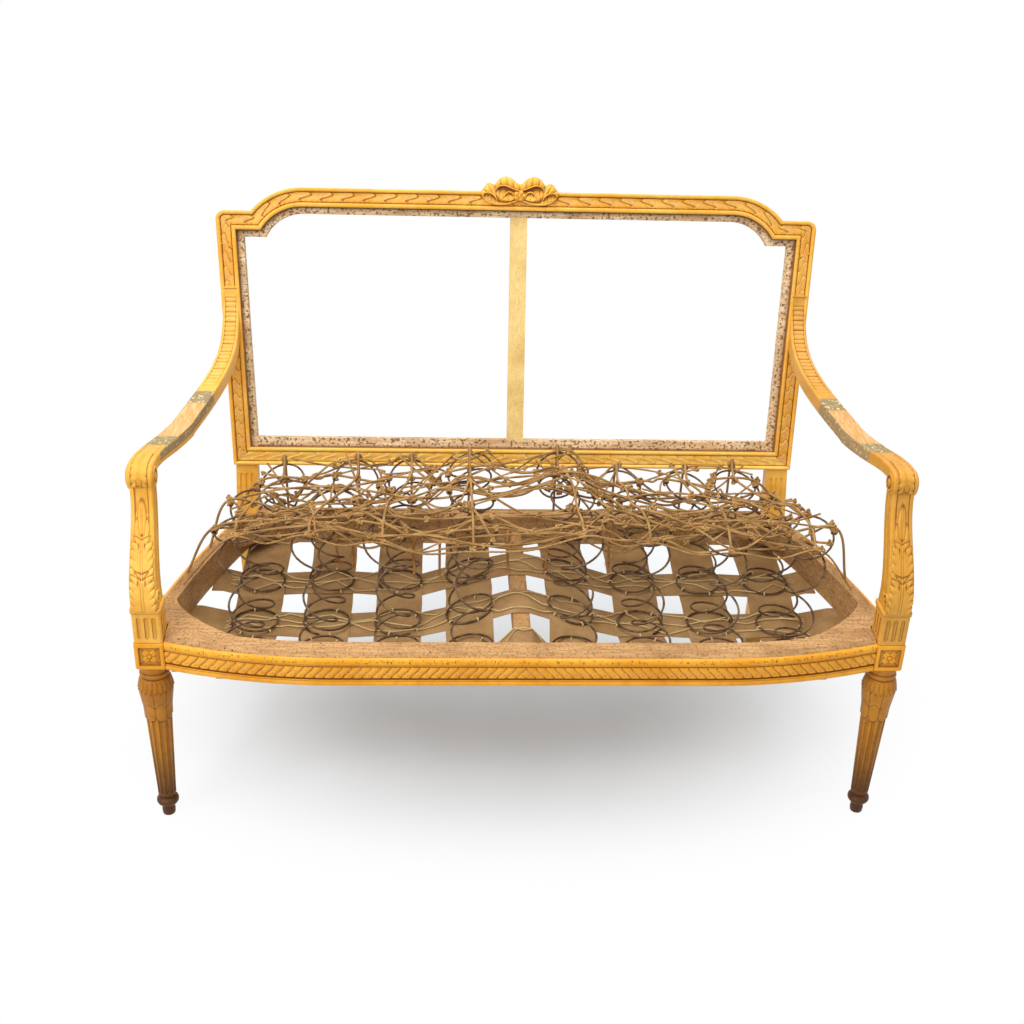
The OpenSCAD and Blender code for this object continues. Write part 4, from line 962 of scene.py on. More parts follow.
@dataclass
class FrontLegs:
    """Turned, fluted legs with a leafy capital, under square blocks with a rosette."""

    plan: Plan
    capital: float = 215.0

    def radius(self, z: Array) -> Array:
        """Turned profile: peg, ring, neck, tapered shaft, band, bulb and neck under the block."""
        turn = np.linspace(-1.45, 1.45, 13)
        foot = [(9.4, 0.0), (10.6, 1.2), (11.3, 8.8), (10.2, 21.2)]
        ring = [(18.6 - 7.92 + 7.92 * math.cos(a), 29.92 + 7.92 * math.sin(a)) for a in turn]
        neck = [(12.9, 39.2), (13.4, 41.0), (15.0, 44.6)]
        head = [
            (21.3, -11.0), (21.6, -4.4), (21.8, 0.0), (21.9, 4.0), (22.4, 14.0), (24.8, 31.0), (26.4, 43.0),
            (27.0, 52.0), (26.6, 59.0), (25.2, 66.0), (22.6, 72.0), (21.4, 74.0), (23.6, 76.5), (24.4, 79.0),
            (23.6, 81.5), (21.6, 83.0), (21.8, 86.0), (23.8, 90.0), (24.3, 97.0),
        ]
        r, up = np.array(foot + ring + neck + [(r, self.capital + up) for r, up in head]).T
        return np.interp(z, up, r)

    def shaft(self) -> tuple[Array, Array]:
        """Rings of the turned part and their glaze: twelve flutes, hanging petals, and leaf tips."""
        c = self.capital
        low, flutes = np.linspace(0, 46, 60)[:-1], np.linspace(46, 200, 110)[:-1]
        z = np.concatenate([low, flutes, np.linspace(200, self.plan.rail_low, 150)])
        a = np.linspace(0, 2 * np.pi, 217)[:-1]
        zz, aa = z[:, None], a
        r = self.radius(z)[:, None] + np.zeros_like(aa)
        u = (aa * 12 / (2 * np.pi)) % 1.0 - 0.5
        flute = gouge(u * 2 * np.pi * r / 12, zz, (0.0,), 2.9, 49.0, c - 7.0)
        r = r - 2.3 * flute
        glaze = 0.3 * flute + 0.45 * bell(flute - 0.4, 0.25)
        petal = np.abs(np.sin(4 * aa))
        edge = c - 9.0 + 9.0 * (1 - petal) ** 1.5
        on = span(zz, edge, c + 62.0, 1.6, 14.0)
        r = r + 1.5 * on * (0.55 + 0.45 * petal**0.5)
        scale_edge = c + 20.0 + 8.0 * petal**2
        glaze = glaze + 0.6 * bell(zz - scale_edge, 0.9) + 0.85 * bell(zz - edge + 0.4, 1.3)
        glaze = glaze + 0.55 * on * bell(petal, 0.16)
        tip = np.abs(np.sin(10 * aa))
        tip_edge = c + 66.0 - 17.0 * tip**0.7
        tips = span(zz, tip_edge, c + 71.5, 1.4, 1.5)
        r = r + 1.3 * tips * tip**0.5
        glaze = glaze + 0.9 * bell(zz - tip_edge, 1.1) * (zz < c + 71) + 0.5 * tips * bell(tip, 0.2)
        for line in (39.4, 44.8, c + 73.4, c + 83.6):
            glaze = glaze + 0.8 * bell(zz - line, 0.9)
        return grid(r * np.cos(aa), r * np.sin(aa), zz), hold(glaze)

    def block(self, side: Side) -> tuple[Array, Array]:
        """Rings of the square block: a rosette on its front and outer faces."""
        points, ways, u, face = square(49)
        low, high, wide = self.plan.rail_low, self.plan.seat_h, self.plan.block_h
        z = np.concatenate([[low], np.linspace(low + 0.4, high - 0.4, 62), [high]])
        half = wide - 0.9 * hold(1 - (z - low) / 1.6) - 0.9 * hold(1 - (high - z) / 1.6)
        height, glaze = rosette(wide * u, (z - (low + high) / 2)[:, None], 16.5)
        shown = (face == 0) | (face == (1 if side is Side.RIGHT else 3))
        height, glaze = height * shown, glaze * shown
        xy = points * half[:, None, None] + ways * height[..., None]
        return grid(xy[..., 0], xy[..., 1], z[:, None]), glaze

    def build(self, gold: Material, brown: Material) -> None:
        """Makes both legs in place of their solids."""
        for side in Side:
            at = (side.value * self.plan.leg_x, 0.0, 0.0)
            rings, glaze = self.shaft()
            leg = Shape().loft(rings + at, glaze).build(f"turned_leg_{side.word}", brown, 50.0)
            rings, glaze = self.block(side)
            block = Shape().loft(rings + at, glaze).build(f"leg_block_{side.word}", gold, 50.0)
            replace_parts(leg, f"front_leg_{side.word}")
            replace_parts(block, f"front_leg_{side.word}")


@dataclass
class ArmSupports:
    """Fluted base, plate and a leafy support that sweeps back and out to the arm's scroll."""

    plan: Plan
    top: float = 604.0
    plate: float = 424.0

    def base(self) -> tuple[Array, Array]:
        """Rings of the base: three flutes on each face, under a thin square plate."""
        points, _, u, _ = square(56)
        z = np.concatenate([[361.3], np.linspace(361.7, 417.0, 52), [417.2, 417.8, 420.5, 423.2, 424.0]])
        plate = z > 417.1
        half = np.where(plate, 24.5, 23.0) - 0.7 * hold(1 - (z - 361.3) / 1.2) - 0.9 * (z > 423.5)
        cut = gouge(u * 23.0, z[:, None], (-12.4, 0.0, 12.4), 3.3, 369.0, 409.0) * ~plate[:, None]
        scale = half[:, None] - 2.6 * cut
        line = 0.8 * bell(z - 417.1, 0.7)[:, None]
        glaze = 0.25 * cut + 0.7 * bell(cut - 0.4, 0.25) + line
        return grid(points[:, 0] * scale, points[:, 1] * scale, z[:, None]), hold(glaze)

    def edges(self, z: Array) -> tuple[Array, Array]:
        """Inner and outer edge of the support from the leg's axis, seen from the front."""
        lines = (
            ((-21.15, 422.0), (-20.2, 460.0), (-14.6, 533.0), (-10.0, 606.0)),
            ((21.15, 422.0), (26.3, 460.4), (18.8, 533.0), (26.0, 606.0)),
        )
        left, right = (bezier(*np.array(line), 60).T for line in lines)
        return np.interp(z, left[1], left[0]), np.interp(z, right[1], right[0])

    def relief(self, u: Array, v: Array) -> tuple[Array, Array]:
        """Carving of the front: three tiers of leaves, then a sunk panel between two fillets.

        Args:
            u: place across, -1 to 1.
            v: share of the way up, 0 to 1.

        Returns:
            Height in millimetres and glaze.
        """
        tall = self.top - self.plate
        panel = span(v, 0.72, 0.98, 0.03, 0.02) * ease((0.55 - np.abs(u)) / 0.08)
        height = -2.0 * panel
        glaze = 0.85 * bell(np.abs(u) - 0.58, 0.06) * (v > 0.6)
        tiers = ((0.5, 0.86, 14.5, 3.4), (0.26, 0.58, 19.0, 3.8), (-0.04, 0.32, 21.5, 4.4))
        for low, high, wide, rise in tiers:
            y = (v - low) * tall
            inside, leaf, shade = acanthus(20.5 * u, y, wide, (high - low) * tall, rise < 3.5)
            on = (inside > 0) & (y > 0)
            height = np.where(on, rise * leaf, height)
            rim = 0.4 * bell(inside, 0.04) * (y > 0)
            glaze = np.where(on, shade, np.maximum(glaze, rim))
        return height, hold(glaze)

    def stem(self, side: Side) -> tuple[Array, Array]:
        """Rings of the support: carved in front, with a rounded moulding down each side."""
        z = np.linspace(self.plate - 0.5, self.top, 150)
        v = (z - self.plate) / (self.top - self.plate)
        points, ways, u, face = square(44)
        low, high = self.edges(z)
        if side is Side.LEFT:
            low, high = -high, -low
        hx, cx = (high - low) / 2, (high + low) / 2
        cy = 83.5 * ease((z - 431.0) / 175.0)
        hy = mix(23.5, 18.0, v)
        height, glaze = self.relief(u, v[:, None])
        front = (face == 0)
        flank = ((face == 1) | (face == 3))
        deep = u * hy[:, None]
        hollow = -1.6 * gouge(deep, 0.0, (0.0,), 7.0, -9.0, 9.0) * (v > 0.12)[:, None]
        relief = np.where(front, height, np.where(flank, hollow, 0.0))
        groove = 0.6 * bell(np.abs(deep) - 7.4, 0.9) * (v > 0.1)[:, None]
        glaze = np.where(front, glaze, np.where(flank, groove, 0.0))
        x = cx[:, None] + hx[:, None] * points[:, 0] + ways[:, 0] * relief
        y = cy[:, None] + hy[:, None] * points[:, 1] + ways[:, 1] * relief
        return grid(x, y, z[:, None]), glaze

    def build(self, paints: dict[Side, Material]) -> None:
        """Makes both supports in place of their solids."""
        for side in Side:
            at = (side.value * self.plan.leg_x, 0.0, 0.0)
            shape = Shape()
            for rings, glaze in (self.base(), self.stem(side)):
                shape.loft(rings + at, glaze)
            inner = -side.value
            centre = np.array(at) + (inner * 20.0, -13.0, 444.0)
            boss = [(-3.0, 9.5), (1.6, 9.5), (2.4, 8.4), (1.0, 6.4), (1.8, 4.2), (3.0, 2.0), (3.2, 0.4)]
            shape.turned(centre, (inner, 0.0, 0.0), boss)
            piece = shape.build(f"carved_support_{side.word}", paints[side], 50.0)
            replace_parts(piece, f"arm_support_{side.word}")


@dataclass
class Arms:
    """Armrests: a whip curve off the post, a raw pad place, a dip with a leaf, and a scroll."""

    plan: Plan
    scroll: tuple[float, float] = (83.5, 606.0)
    scroll_r: float = 21.0
    scroll_x: float = 608.0
    scroll_half: float = 20.5
    disc: Line = (
        (-4.0, 15.5), (1.2, 15.5), (2.0, 14.4), (1.9, 12.4), (0.6, 11.0), (0.5, 7.6), (1.8, 6.4), (2.5, 4.0),
        (2.8, 0.4),
    )

    def top_line(self) -> Array:
        """The arm's upper line in y and z, from the joint over the scroll to its curled end."""
        p = np.array([
            (518.5, 753.6), (495.9, 671.3), (421.1, 663.6), (261.0, 617.3), (190.1, 610.5), (154.4, 625.0),
            (83.5, 627.0),
        ])
        whip, dip = bezier(*p[:4], 120), bezier(*p[3:], 80)
        a = np.radians(np.linspace(0.0, 245.0, 60))[1:, None]
        curl = np.array(self.scroll) + self.scroll_r * np.concatenate([-np.sin(a), np.cos(a)], axis=1)
        start = np.array([[520.0, 766.0], [519.6, 760.0]])
        return resample(np.concatenate([start, whip, dip[1:], curl]), 1.4)

    def across(self, y: Array) -> tuple[Array, Array]:
        """Middle of the arm across the settee, and half its width, at a distance from the front."""
        x = 517.3 + 90.7 * ease((518.5 - y - 33.06) / 391.5)
        return x, mix(14.5, 20.5, hold((518.5 - y) / 435.0))

    def relief(self, s: Array, u: Array, end: float) -> tuple[Array, Array, Array, Array]:
        """Carving of the upper face by distance along the arm and place across.

        Returns:
            Height in millimetres, glaze, how bare and how soiled the wood is.
        """
        fillet = ease((np.abs(u) - 0.62) / 0.05)
        bead = np.cos(np.clip((np.abs(u) - 0.81) / 0.19, -1, 1) * np.pi / 2) ** 0.5
        line = bell(np.abs(u) - 0.62, 0.045)
        coins, pad = span(s, 18.0, 238.0, 4.0, 50.0), span(s, 232.0, 411.0, 3.0)
        ribs = span(s, 414.0, 456.0, 2.0, 3.0)
        rib, rib_glaze = lobes(s + 0.0 * u, 9.0)
        rib2, glaze2 = lobes(s + 0.0 * u, 6.5)
        leaf_on = ease((s - 456.0) / 3.0)
        inside, leaf, shade = acanthus(20.0 * u, s - 458.0, 15.5, end - 36.0 - 458.0, False)
        on = (inside > 0) & (leaf_on > 0)
        height, glaze = -0.8 * pad, 0.0
        for part, cut, dark, edge, rim in (
            (coins, 2.8 * rib - 2.3, 1.1 * rib_glaze, 0.9, 0.9),
            (ribs, 1.8 * rib2 - 1.2, 0.95 * glaze2, 0.9, 0.8),
            (leaf_on, np.where(on, 3.0 * leaf, -0.6), np.where(on, 0.9 * shade, 0.25), 1.0, 0.7),
        ):
            height = height + part * ((1 - fillet) * cut + edge * fillet * bead)
            glaze = glaze + part * ((1 - fillet) * dark + rim * line)
        for at in (3.0, 18.0, 233.5, 412.0, 457.5):
            glaze = glaze + 0.8 * bell(s - at, 0.9)
        grey = pad * np.maximum(ease((268.0 - s) / 6.0), ease((s - 365.0) / 6.0))
        worn = 0.3 * coins * (1 - fillet) * rib**4 + 0.4 * ribs * (1 - fillet) * rib2**2
        return height, hold(glaze) * (1 - pad), np.maximum(pad + 0.0 * u, worn), grey + 0.0 * u

    def build(self, paints: dict[Side, Material]) -> None:
        """Makes both arms in place of their solids, each with a disc on both sides of its scroll."""
        line = self.top_line()
        s = lengths(line)
        straight = int(np.argmax(line[:, 0] <= self.scroll[0] + 1e-6))
        way = unit(np.gradient(line, axis=0))
        under = np.stack([-way[:, 1], way[:, 0]], axis=1)
        under = under * np.where(under[: straight // 2].mean(axis=0)[1] > 0, -1.0, 1.0)
        thick = mix(28.0, 20.4, ease((s - 250.0) / (s[straight] - 250.0)))
        x, half = self.across(line[:, 0])
        x[straight:], half[straight:] = x[straight], half[straight]
        points, ways, u, face = square(40)
        centre = line + under * thick[:, None] / 2
        upper = (face == 0)
        height, glaze, bare, soil = self.relief(s[:, None], u, s[-1])
        height, glaze = np.where(upper, height, 0.0), np.where(upper, glaze, 0.0)
        for side in Side:
            inner = (face == 3)
            if side is Side.RIGHT:
                raw, dirty = span(s[:, None], 238.0, 405.0, 4.0), 0.75
            else:
                raw, dirty = span(s[:, None], 236.0, 452.0, 8.0) * ease((0.45 - u) / 0.3), 0.8
            raw = np.where(inner, raw, 0.0)
            dirt = np.maximum(dirty * raw, np.where(upper, soil, 0.0))
            raw = np.maximum(raw, np.where(upper, bare, 0.0))
            lift = points[:, 1] * thick[:, None] / 2 + ways[:, 1] * height
            wide = x[:, None] + half[:, None] * points[:, 0]
            y = centre[:, None, 0] + under[:, None, 0] * lift
            z = centre[:, None, 1] + under[:, None, 1] * lift
            parts = (grid(wide * side.value, y, z), glaze, raw, dirt)
            shape = Shape().loft(*(a[:, :: side.value] for a in parts))
            for hand in (-1.0, 1.0):
                at = np.array([(self.scroll_x + hand * self.scroll_half) * side.value, *self.scroll])
                shape.turned(at, (hand * side.value, 0.0, 0.0), self.disc)
            piece = shape.build(f"carved_arm_{side.word}", paints[side], 50.0)
            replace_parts(piece, f"armrest_{side.word}")


@dataclass
class Ribbon:
    """The ribbon bow carved on the crest: two folded loops a side, rolled rims, and a bud."""

    plan: Plan
    base: float = 600.0
    upper: Line = ((-45.6, 11.8), (-36.0, 23.0), (-25.1, 26.4), (-14.1, 22.9), (-6.5, 16.5), (0.4, 12.5))
    upper_rim: Line = ((-42.9, 3.4), (-37.4, 9.0), (-27.8, 10.7), (-18.3, 7.6), (-8.5, 3.6), (0.4, 1.5))
    outer: Line = ((-68.5, -8.5), (-70.3, -2.1), (-64.5, 7.0), (-56.6, 14.6), (-45.6, 11.8))
    outer_rim: Line = ((-66.5, -9.0), (-63.4, -2.8), (-53.9, -2.1), (-45.6, -7.7), (-40.2, -14.7))
    low_rim: Line = (
        (-67.5, -7.7), (-59.3, -16.0), (-45.6, -21.5), (-27.8, -22.0), (-11.4, -18.0), (-2.0, -14.5),
    )
    curl: Line = ((-30.0, -10.5), (-26.5, -4.9), (-21.0, -0.7), (-14.1, -2.1), (-10.0, -7.7))

    def at(self, flat: Array, out: Array, side: Side) -> Array:
        """Points of the crest's front face from their place on it, with the side's sign."""
        return self.plan.on_back(-side.value * flat[..., 0], self.base + flat[..., 1], out)

    def fold(
        self, shape: Shape, edges: tuple, side: Side, pleats: float, heights: tuple, darks: tuple
    ) -> None:
        """A width of ribbon between two edge lines, with rounded pleats across it.

        The height runs through the given heights from the first edge to the second, and each pleat
        adds |sin|^0.6 of its own share; the glaze runs through the darks and lies between pleats.

        Args:
            shape: the bow.
            edges: the two edge lines on the crest's face.
            side: which half of the bow.
            pleats: number of pleats.
            heights: height in millimetres at even steps from edge to edge.
            darks: glaze at the same steps.
        """
        n = 60
        a, b = (resample(spline(c, 12), 0.2) for c in edges)
        a, b = (c[np.linspace(0, len(c) - 1, n).astype(int)] for c in (a, b))
        q = np.linspace(0.0, 1.0, 17)
        flat = a[:, None, :] + (b - a)[:, None, :] * q[:, None]
        along = np.linspace(0, 1, n)[:, None]
        wave = np.abs(np.sin(np.pi * pleats * along)) ** 0.6
        steps = np.linspace(0, 1, len(heights))
        out = np.interp(q, steps, heights) * (0.66 + 0.34 * wave)
        out = out * (0.55 + 0.45 * np.sin(np.pi * along) ** 0.4)
        glaze = np.interp(q, steps, darks) + 0.75 * bell(wave, 0.4) * np.sin(np.pi * q) ** 0.5
        front = self.at(flat, out, side)
        back = self.at(flat[:, [-1, 0]], np.full((n, 2), -3.0), side)
        shade = np.concatenate([glaze, np.zeros((n, 2))], axis=1)
        shape.loft(np.concatenate([front, back], axis=1), hold(shade))

    def build(self, paint: Material) -> None:
        """Makes the bow in place of its solid."""
        shape = Shape()
        outer_fold, inner_fold = (0.5, 6.5, 9.0, 9.8, 9.6, 8.6), (0.8, 0.8, 1.6, 3.0, 4.4, 4.6, 1.0)
        plain, hollow = (0.1, 0.0, 0.0, 0.0, 0.15, 0.9), (1.0, 0.9, 0.3, 0.0, 0.0, 0.0, 0.7)
        upper_low = ((-43.5, -6.0), (-39.0, -14.5), (-30.0, -18.5), (-19.0, -18.5), (-7.0, -13.5))
        outer_low = ((-67.2, -10.0), (-62.0, -15.5), (-52.0, -20.5), (-43.0, -22.5), (-36.0, -22.8))
        curl_low = ((-31.0, -14.0), (-26.5, -15.5), (-21.0, -16.0), (-14.1, -15.0), (-9.0, -11.0))
        folds = (
            ((self.outer_rim, outer_low), 5.0, inner_fold, hollow),
            ((self.upper_rim, upper_low), 4.0, inner_fold, hollow),
            ((self.curl, curl_low), 2.0, tuple(h + 2.2 for h in inner_fold[:-1]), hollow[:-1]),
            ((self.upper, self.upper_rim), 4.0, outer_fold, plain),
            ((self.outer, self.outer_rim), 3.0, outer_fold, plain),
        )
        rims = (
            (self.upper_rim, 1.2, 8.6), (self.outer_rim, 1.2, 8.4), (self.low_rim, 1.6, 3.4),
            (self.curl, 1.3, 6.2),
        )
        for side in Side:
            for edges, *pleated in folds:
                self.fold(shape, edges, side, *pleated)
            for line, r, out in rims:
                flat = resample(spline(line, 12), 1.2)
                fade = np.sin(np.linspace(0.12, np.pi - 0.12, len(flat))) ** 0.3
                shape.tube(self.at(flat, out * (0.6 + 0.4 * fade), side), r * fade, 10)
        up = self.plan.on_back(0.0, 0.0, 1.0) - self.plan.on_back(0.0, 0.0, 0.0)
        at = self.plan.on_back(0.0, self.base - 7.0, 1.0)
        shape.turned(at, tuple(up), [(-4.0, 9.0), (2.0, 9.0), (3.4, 8.0), (4.4, 5.0), (4.8, 0.4)], 1.3)
        for k in range(6):
            a = 2 * math.pi * k / 5
            off = np.array([7.2 * math.cos(a), 0.0, 5.4 * math.sin(a)]) if k < 5 else np.zeros(3)
            shape.turned(at + off, tuple(up), [(0.0, 4.6), (3.6, 4.6), (6.2, 3.8), (7.8, 2.2), (8.4, 0.3)])
        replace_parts(shape.build("ribbon_bow", paint, 55.0), "crest_ribbon")


# ---- the seat rails


@dataclass
class SeatRails:
    """Carved faces of the front and side rails: two beads with a band of gadroons between."""

    plan: Plan
    step: float = 1.3
    rise: float = 4.2

    def section(self) -> tuple[Array, Array, Array]:
        """Inset, height and place across the band of each point of the face's skin."""
        low, high = self.plan.rail_low, self.plan.seat_h
        bottom = [
            (6.0, 1.0), (6.0, -0.3), (1.2, -0.3), (0.1, 1.0), (-0.7, 3.0), (-0.9, 5.5), (-0.5, 7.6),
            (0.3, 8.8), (0.3, 9.2), (-0.3, 10.4), (1.2, 11.6), (3.1, 12.0),
        ]
        band = [(3.3, z) for z in np.linspace(low + 12.6, high - 13.6, 15)]
        top = [
            (3.1, 13.0), (1.2, 12.6), (-0.3, 11.4), (0.2, 10.2), (0.2, 9.8), (-0.7, 8.4), (-0.9, 5.8),
            (-0.7, 3.4), (0.4, 1.4), (2.4, -0.3), (5.6, -0.35), (6.0, 1.0),
        ]
        points = np.array([(i, low + z) for i, z in bottom] + band + [(i, high - z) for i, z in top])
        t = np.full(len(points), 9.0)
        t[len(bottom) : len(bottom) + len(band)] = np.linspace(-1.0, 1.0, len(band))
        return points[:, 0], points[:, 1], t

    def dress(self, run: Array) -> tuple[Array, Array, Array]:
        """Insets, heights and glaze of the skin at each distance from where the gadroons mirror."""
        inset, z, t = self.section()
        carved = np.abs(t) < 2.0
        height, glaze = gadroon(run[:, None], np.where(carved, t, 0.0))
        inset_all = inset - np.where(carved, self.rise * height, 0.0)
        lines = sum(bell(z - c, 0.8) for c in (self.plan.rail_low + 12.0, self.plan.seat_h - 13.2))
        thin = sum(bell(z - c, 0.5) for c in (self.plan.rail_low + 9.0, self.plan.seat_h - 10.0))
        glaze = np.where(carved, glaze * 0.95, 0.0) + lines + 0.6 * thin
        rim = (z > self.plan.seat_h - 6.0) & (z < self.plan.seat_h + 0.2)
        holes = (noise((len(run), len(z)), 17) > 0.8) & rim
        return inset_all, z, hold(glaze + 0.9 * holes)

    def front(self, paint: Material) -> None:
        """The bowed front rail's face."""
        half = self.plan.leg_x - self.plan.block_h - 0.1
        x = np.linspace(-half, half, int(2 * half / self.step))
        inset, z, glaze = self.dress(x)
        y = self.plan.front_y_at(x[:, None], inset)
        Shape().loft(grid(x[:, None], y, z), glaze).build("front_rail_carving", paint)

    def sides(self, paint: Material) -> None:
        """The side rails' outer faces."""
        y = np.linspace(self.plan.block_h + 0.1, 401.9, int(377 / self.step))
        inset, z, glaze = self.dress(y + 40.0)
        x = self.plan.side_x_at(y[:, None], inset)
        for side in Side:
            piece = Shape().loft(grid(x * side.value, y[:, None], z), glaze)
            piece.build(f"side_rail_carving_{side.word}", paint)

    def build(self, paint: Material) -> None:
        """Makes the three carved faces."""
        self.front(paint)
        self.sides(paint)


# ---- webbing


@dataclass
class Webbing:
    """Eight jute straps from front to back, woven with three across that hump over the bearer."""

    plan: Plan
    width: float = 80.0
    cross_w: float = 75.0
    thick: float = 2.0
    first: float = 87.0
    pitch: float = 122.0
    gap: float = 0.3
    sag: float = 12.0
    bearer_top: float = 345.0
    tuck: float = 19.2
    side_t: float = 32.0
    post_in: float = 474.85
    under_rear: float = 12.8
    sag_shares: tuple[float, ...] = (0.0, 1.0, 0.4)

    def __post_init__(self) -> None:
        """Works out the straps' places across and the heights that they hang at."""
        front_in = self.plan.front_y + self.plan.front_t
        run = self.plan.rear_in_y - front_in
        first = front_in + 1.5 + self.cross_w / 2
        self.cross_y = np.array([first, front_in + 0.384 * run, front_in + 0.68 * run])
        self.weave = (self.thick + self.gap) / 2
        self.end_z = self.plan.rail_low - self.gap - self.thick / 2
        self.low_z = self.end_z - self.weave
        self.hump_z = self.bearer_top + self.gap + self.thick / 2

    def strap_x(self, col: int) -> float:
        """Middle of a front-to-back strap."""
        return self.first + self.pitch * col

    def height(self, x: Array, row: int) -> Array:
        """Height of the webbing's middle at a strap across: a tent from the bearer to its low level."""
        out = self.first - self.width / 2 - 2 * self.gap if row == 0 else self.strap_x(1) - self.width / 2
        low = self.low_z - self.sag * self.sag_shares[row]
        away = (out - np.abs(x)) / (out - self.plan.bearer_half)
        return low + (self.hump_z - low) * hold(away)

    def over(self, col: int, row: int) -> float:
        """1 where the strap across lies on top, and -1 where it passes under."""
        return 1.0 if (col + row) % 2 == 0 else -1.0

    def ribbon(self, left: Array, right: Array, seed: int) -> Array:
        """Rings of a strap between its two edge lines, with frayed, slightly wavy edges.

        Args:
            left: one edge's middle line, (n, 3).
            right: the other edge's middle line.
            seed: start of the wobble's random numbers.
        """
        share = np.linspace(0.0, 1.0, 9)
        wobble = np.interp(np.linspace(0, 1, len(left)), np.linspace(0, 1, 14), noise((14,), seed, 1.2))
        across = unit(right - left)
        mid = left[:, None, :] + (right - left)[:, None, :] * share[:, None]
        mid = mid + across[:, None, :] * (wobble[:, None, None] * (2 * share - 1)[:, None] ** 2)
        edge = np.abs(2 * share - 1) ** 8
        lift = self.thick / 2 * (1.0 - 0.45 * edge)[:, None] * np.array(UPWARD)
        return np.concatenate([mid + lift, (mid - lift)[:, ::-1]], axis=1)

    def long_strap(self, col: int, side: Side) -> Array:
        """Rings of a front-to-back strap: flat under the rails, over and under the straps across."""
        x = self.strap_x(col)
        xs = (x - self.width / 2, x + self.width / 2)
        lip = self.plan.front_y_at(x, self.plan.front_t)
        y = [self.plan.front_y_at(x, 9.0), lip]
        z = [[self.end_z, self.end_z], [self.end_z, self.end_z]]
        for row, mid in enumerate(self.cross_y):
            for s in (-1, 1):
                at = mid + s * (self.cross_w / 2 + self.gap)
                if at > lip + self.gap:
                    y.append(at)
                    z.append([self.height(e, row) - self.weave * self.over(col, row) for e in xs])
        rear = self.plan.post_y + (-self.gap if xs[1] > self.post_in else self.under_rear)
        y += [self.plan.rear_in_y, rear]
        z += [[self.end_z, self.end_z]] * 2
        fine = np.linspace(y[0], y[-1], 110)
        za, zb = (np.interp(fine, y, np.array(z)[:, k]) for k in (0, 1))
        left, right = (grid(x * side.value, fine, z) for x, z in zip(xs, (za, zb)))
        return self.ribbon(left, right, 11 * col + side.value + 5)

    def cross_strap(self, row: int) -> Array:
        """Rings of a strap across: flat on the bearer, tented down, woven, tacked below the rails."""
        ys = (self.cross_y[row] - self.cross_w / 2, self.cross_y[row] + self.cross_w / 2)
        rail = np.min(self.plan.side_x_at(np.array(ys), self.side_t))
        end = min(rail + self.tuck, self.plan.leg_x - self.plan.block_h - 9.0)
        x, z = [0.0, self.plan.bearer_half], [self.hump_z, self.hump_z]
        for col, s in product(range(4), (-1, 1)):
            at = self.strap_x(col) + s * (self.width / 2 + self.gap)
            x.append(at)
            z.append(self.height(at, row) + self.weave * self.over(col, row))
        x += [end - self.tuck, end]
        z += [self.end_z, self.end_z]
        fine = np.linspace(-end, end, 260)
        left, right = (grid(fine, y, np.interp(np.abs(fine), x, z)) for y in ys)
        return self.ribbon(left, right, 71 + row)

    def build(self, jute: Material) -> None:
        """Makes the eleven straps in place of their solids."""
        for side, col in product(Side, range(4)):
            name = f"webbing_long_{side.word}_{col + 1}"
            piece = Shape().loft(self.long_strap(col, side)).build("jute_" + name, jute)
            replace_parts(piece, name)
        for row in range(3):
            piece = Shape().loft(self.cross_strap(row)).build(f"jute_webbing_cross_{row + 1}", jute)
            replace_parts(piece, f"webbing_cross_{row + 1}")


# ---- springs and twine


def sind(degrees: float) -> float:
    """Sine of an angle in degrees."""
    return math.sin(math.radians(degrees))


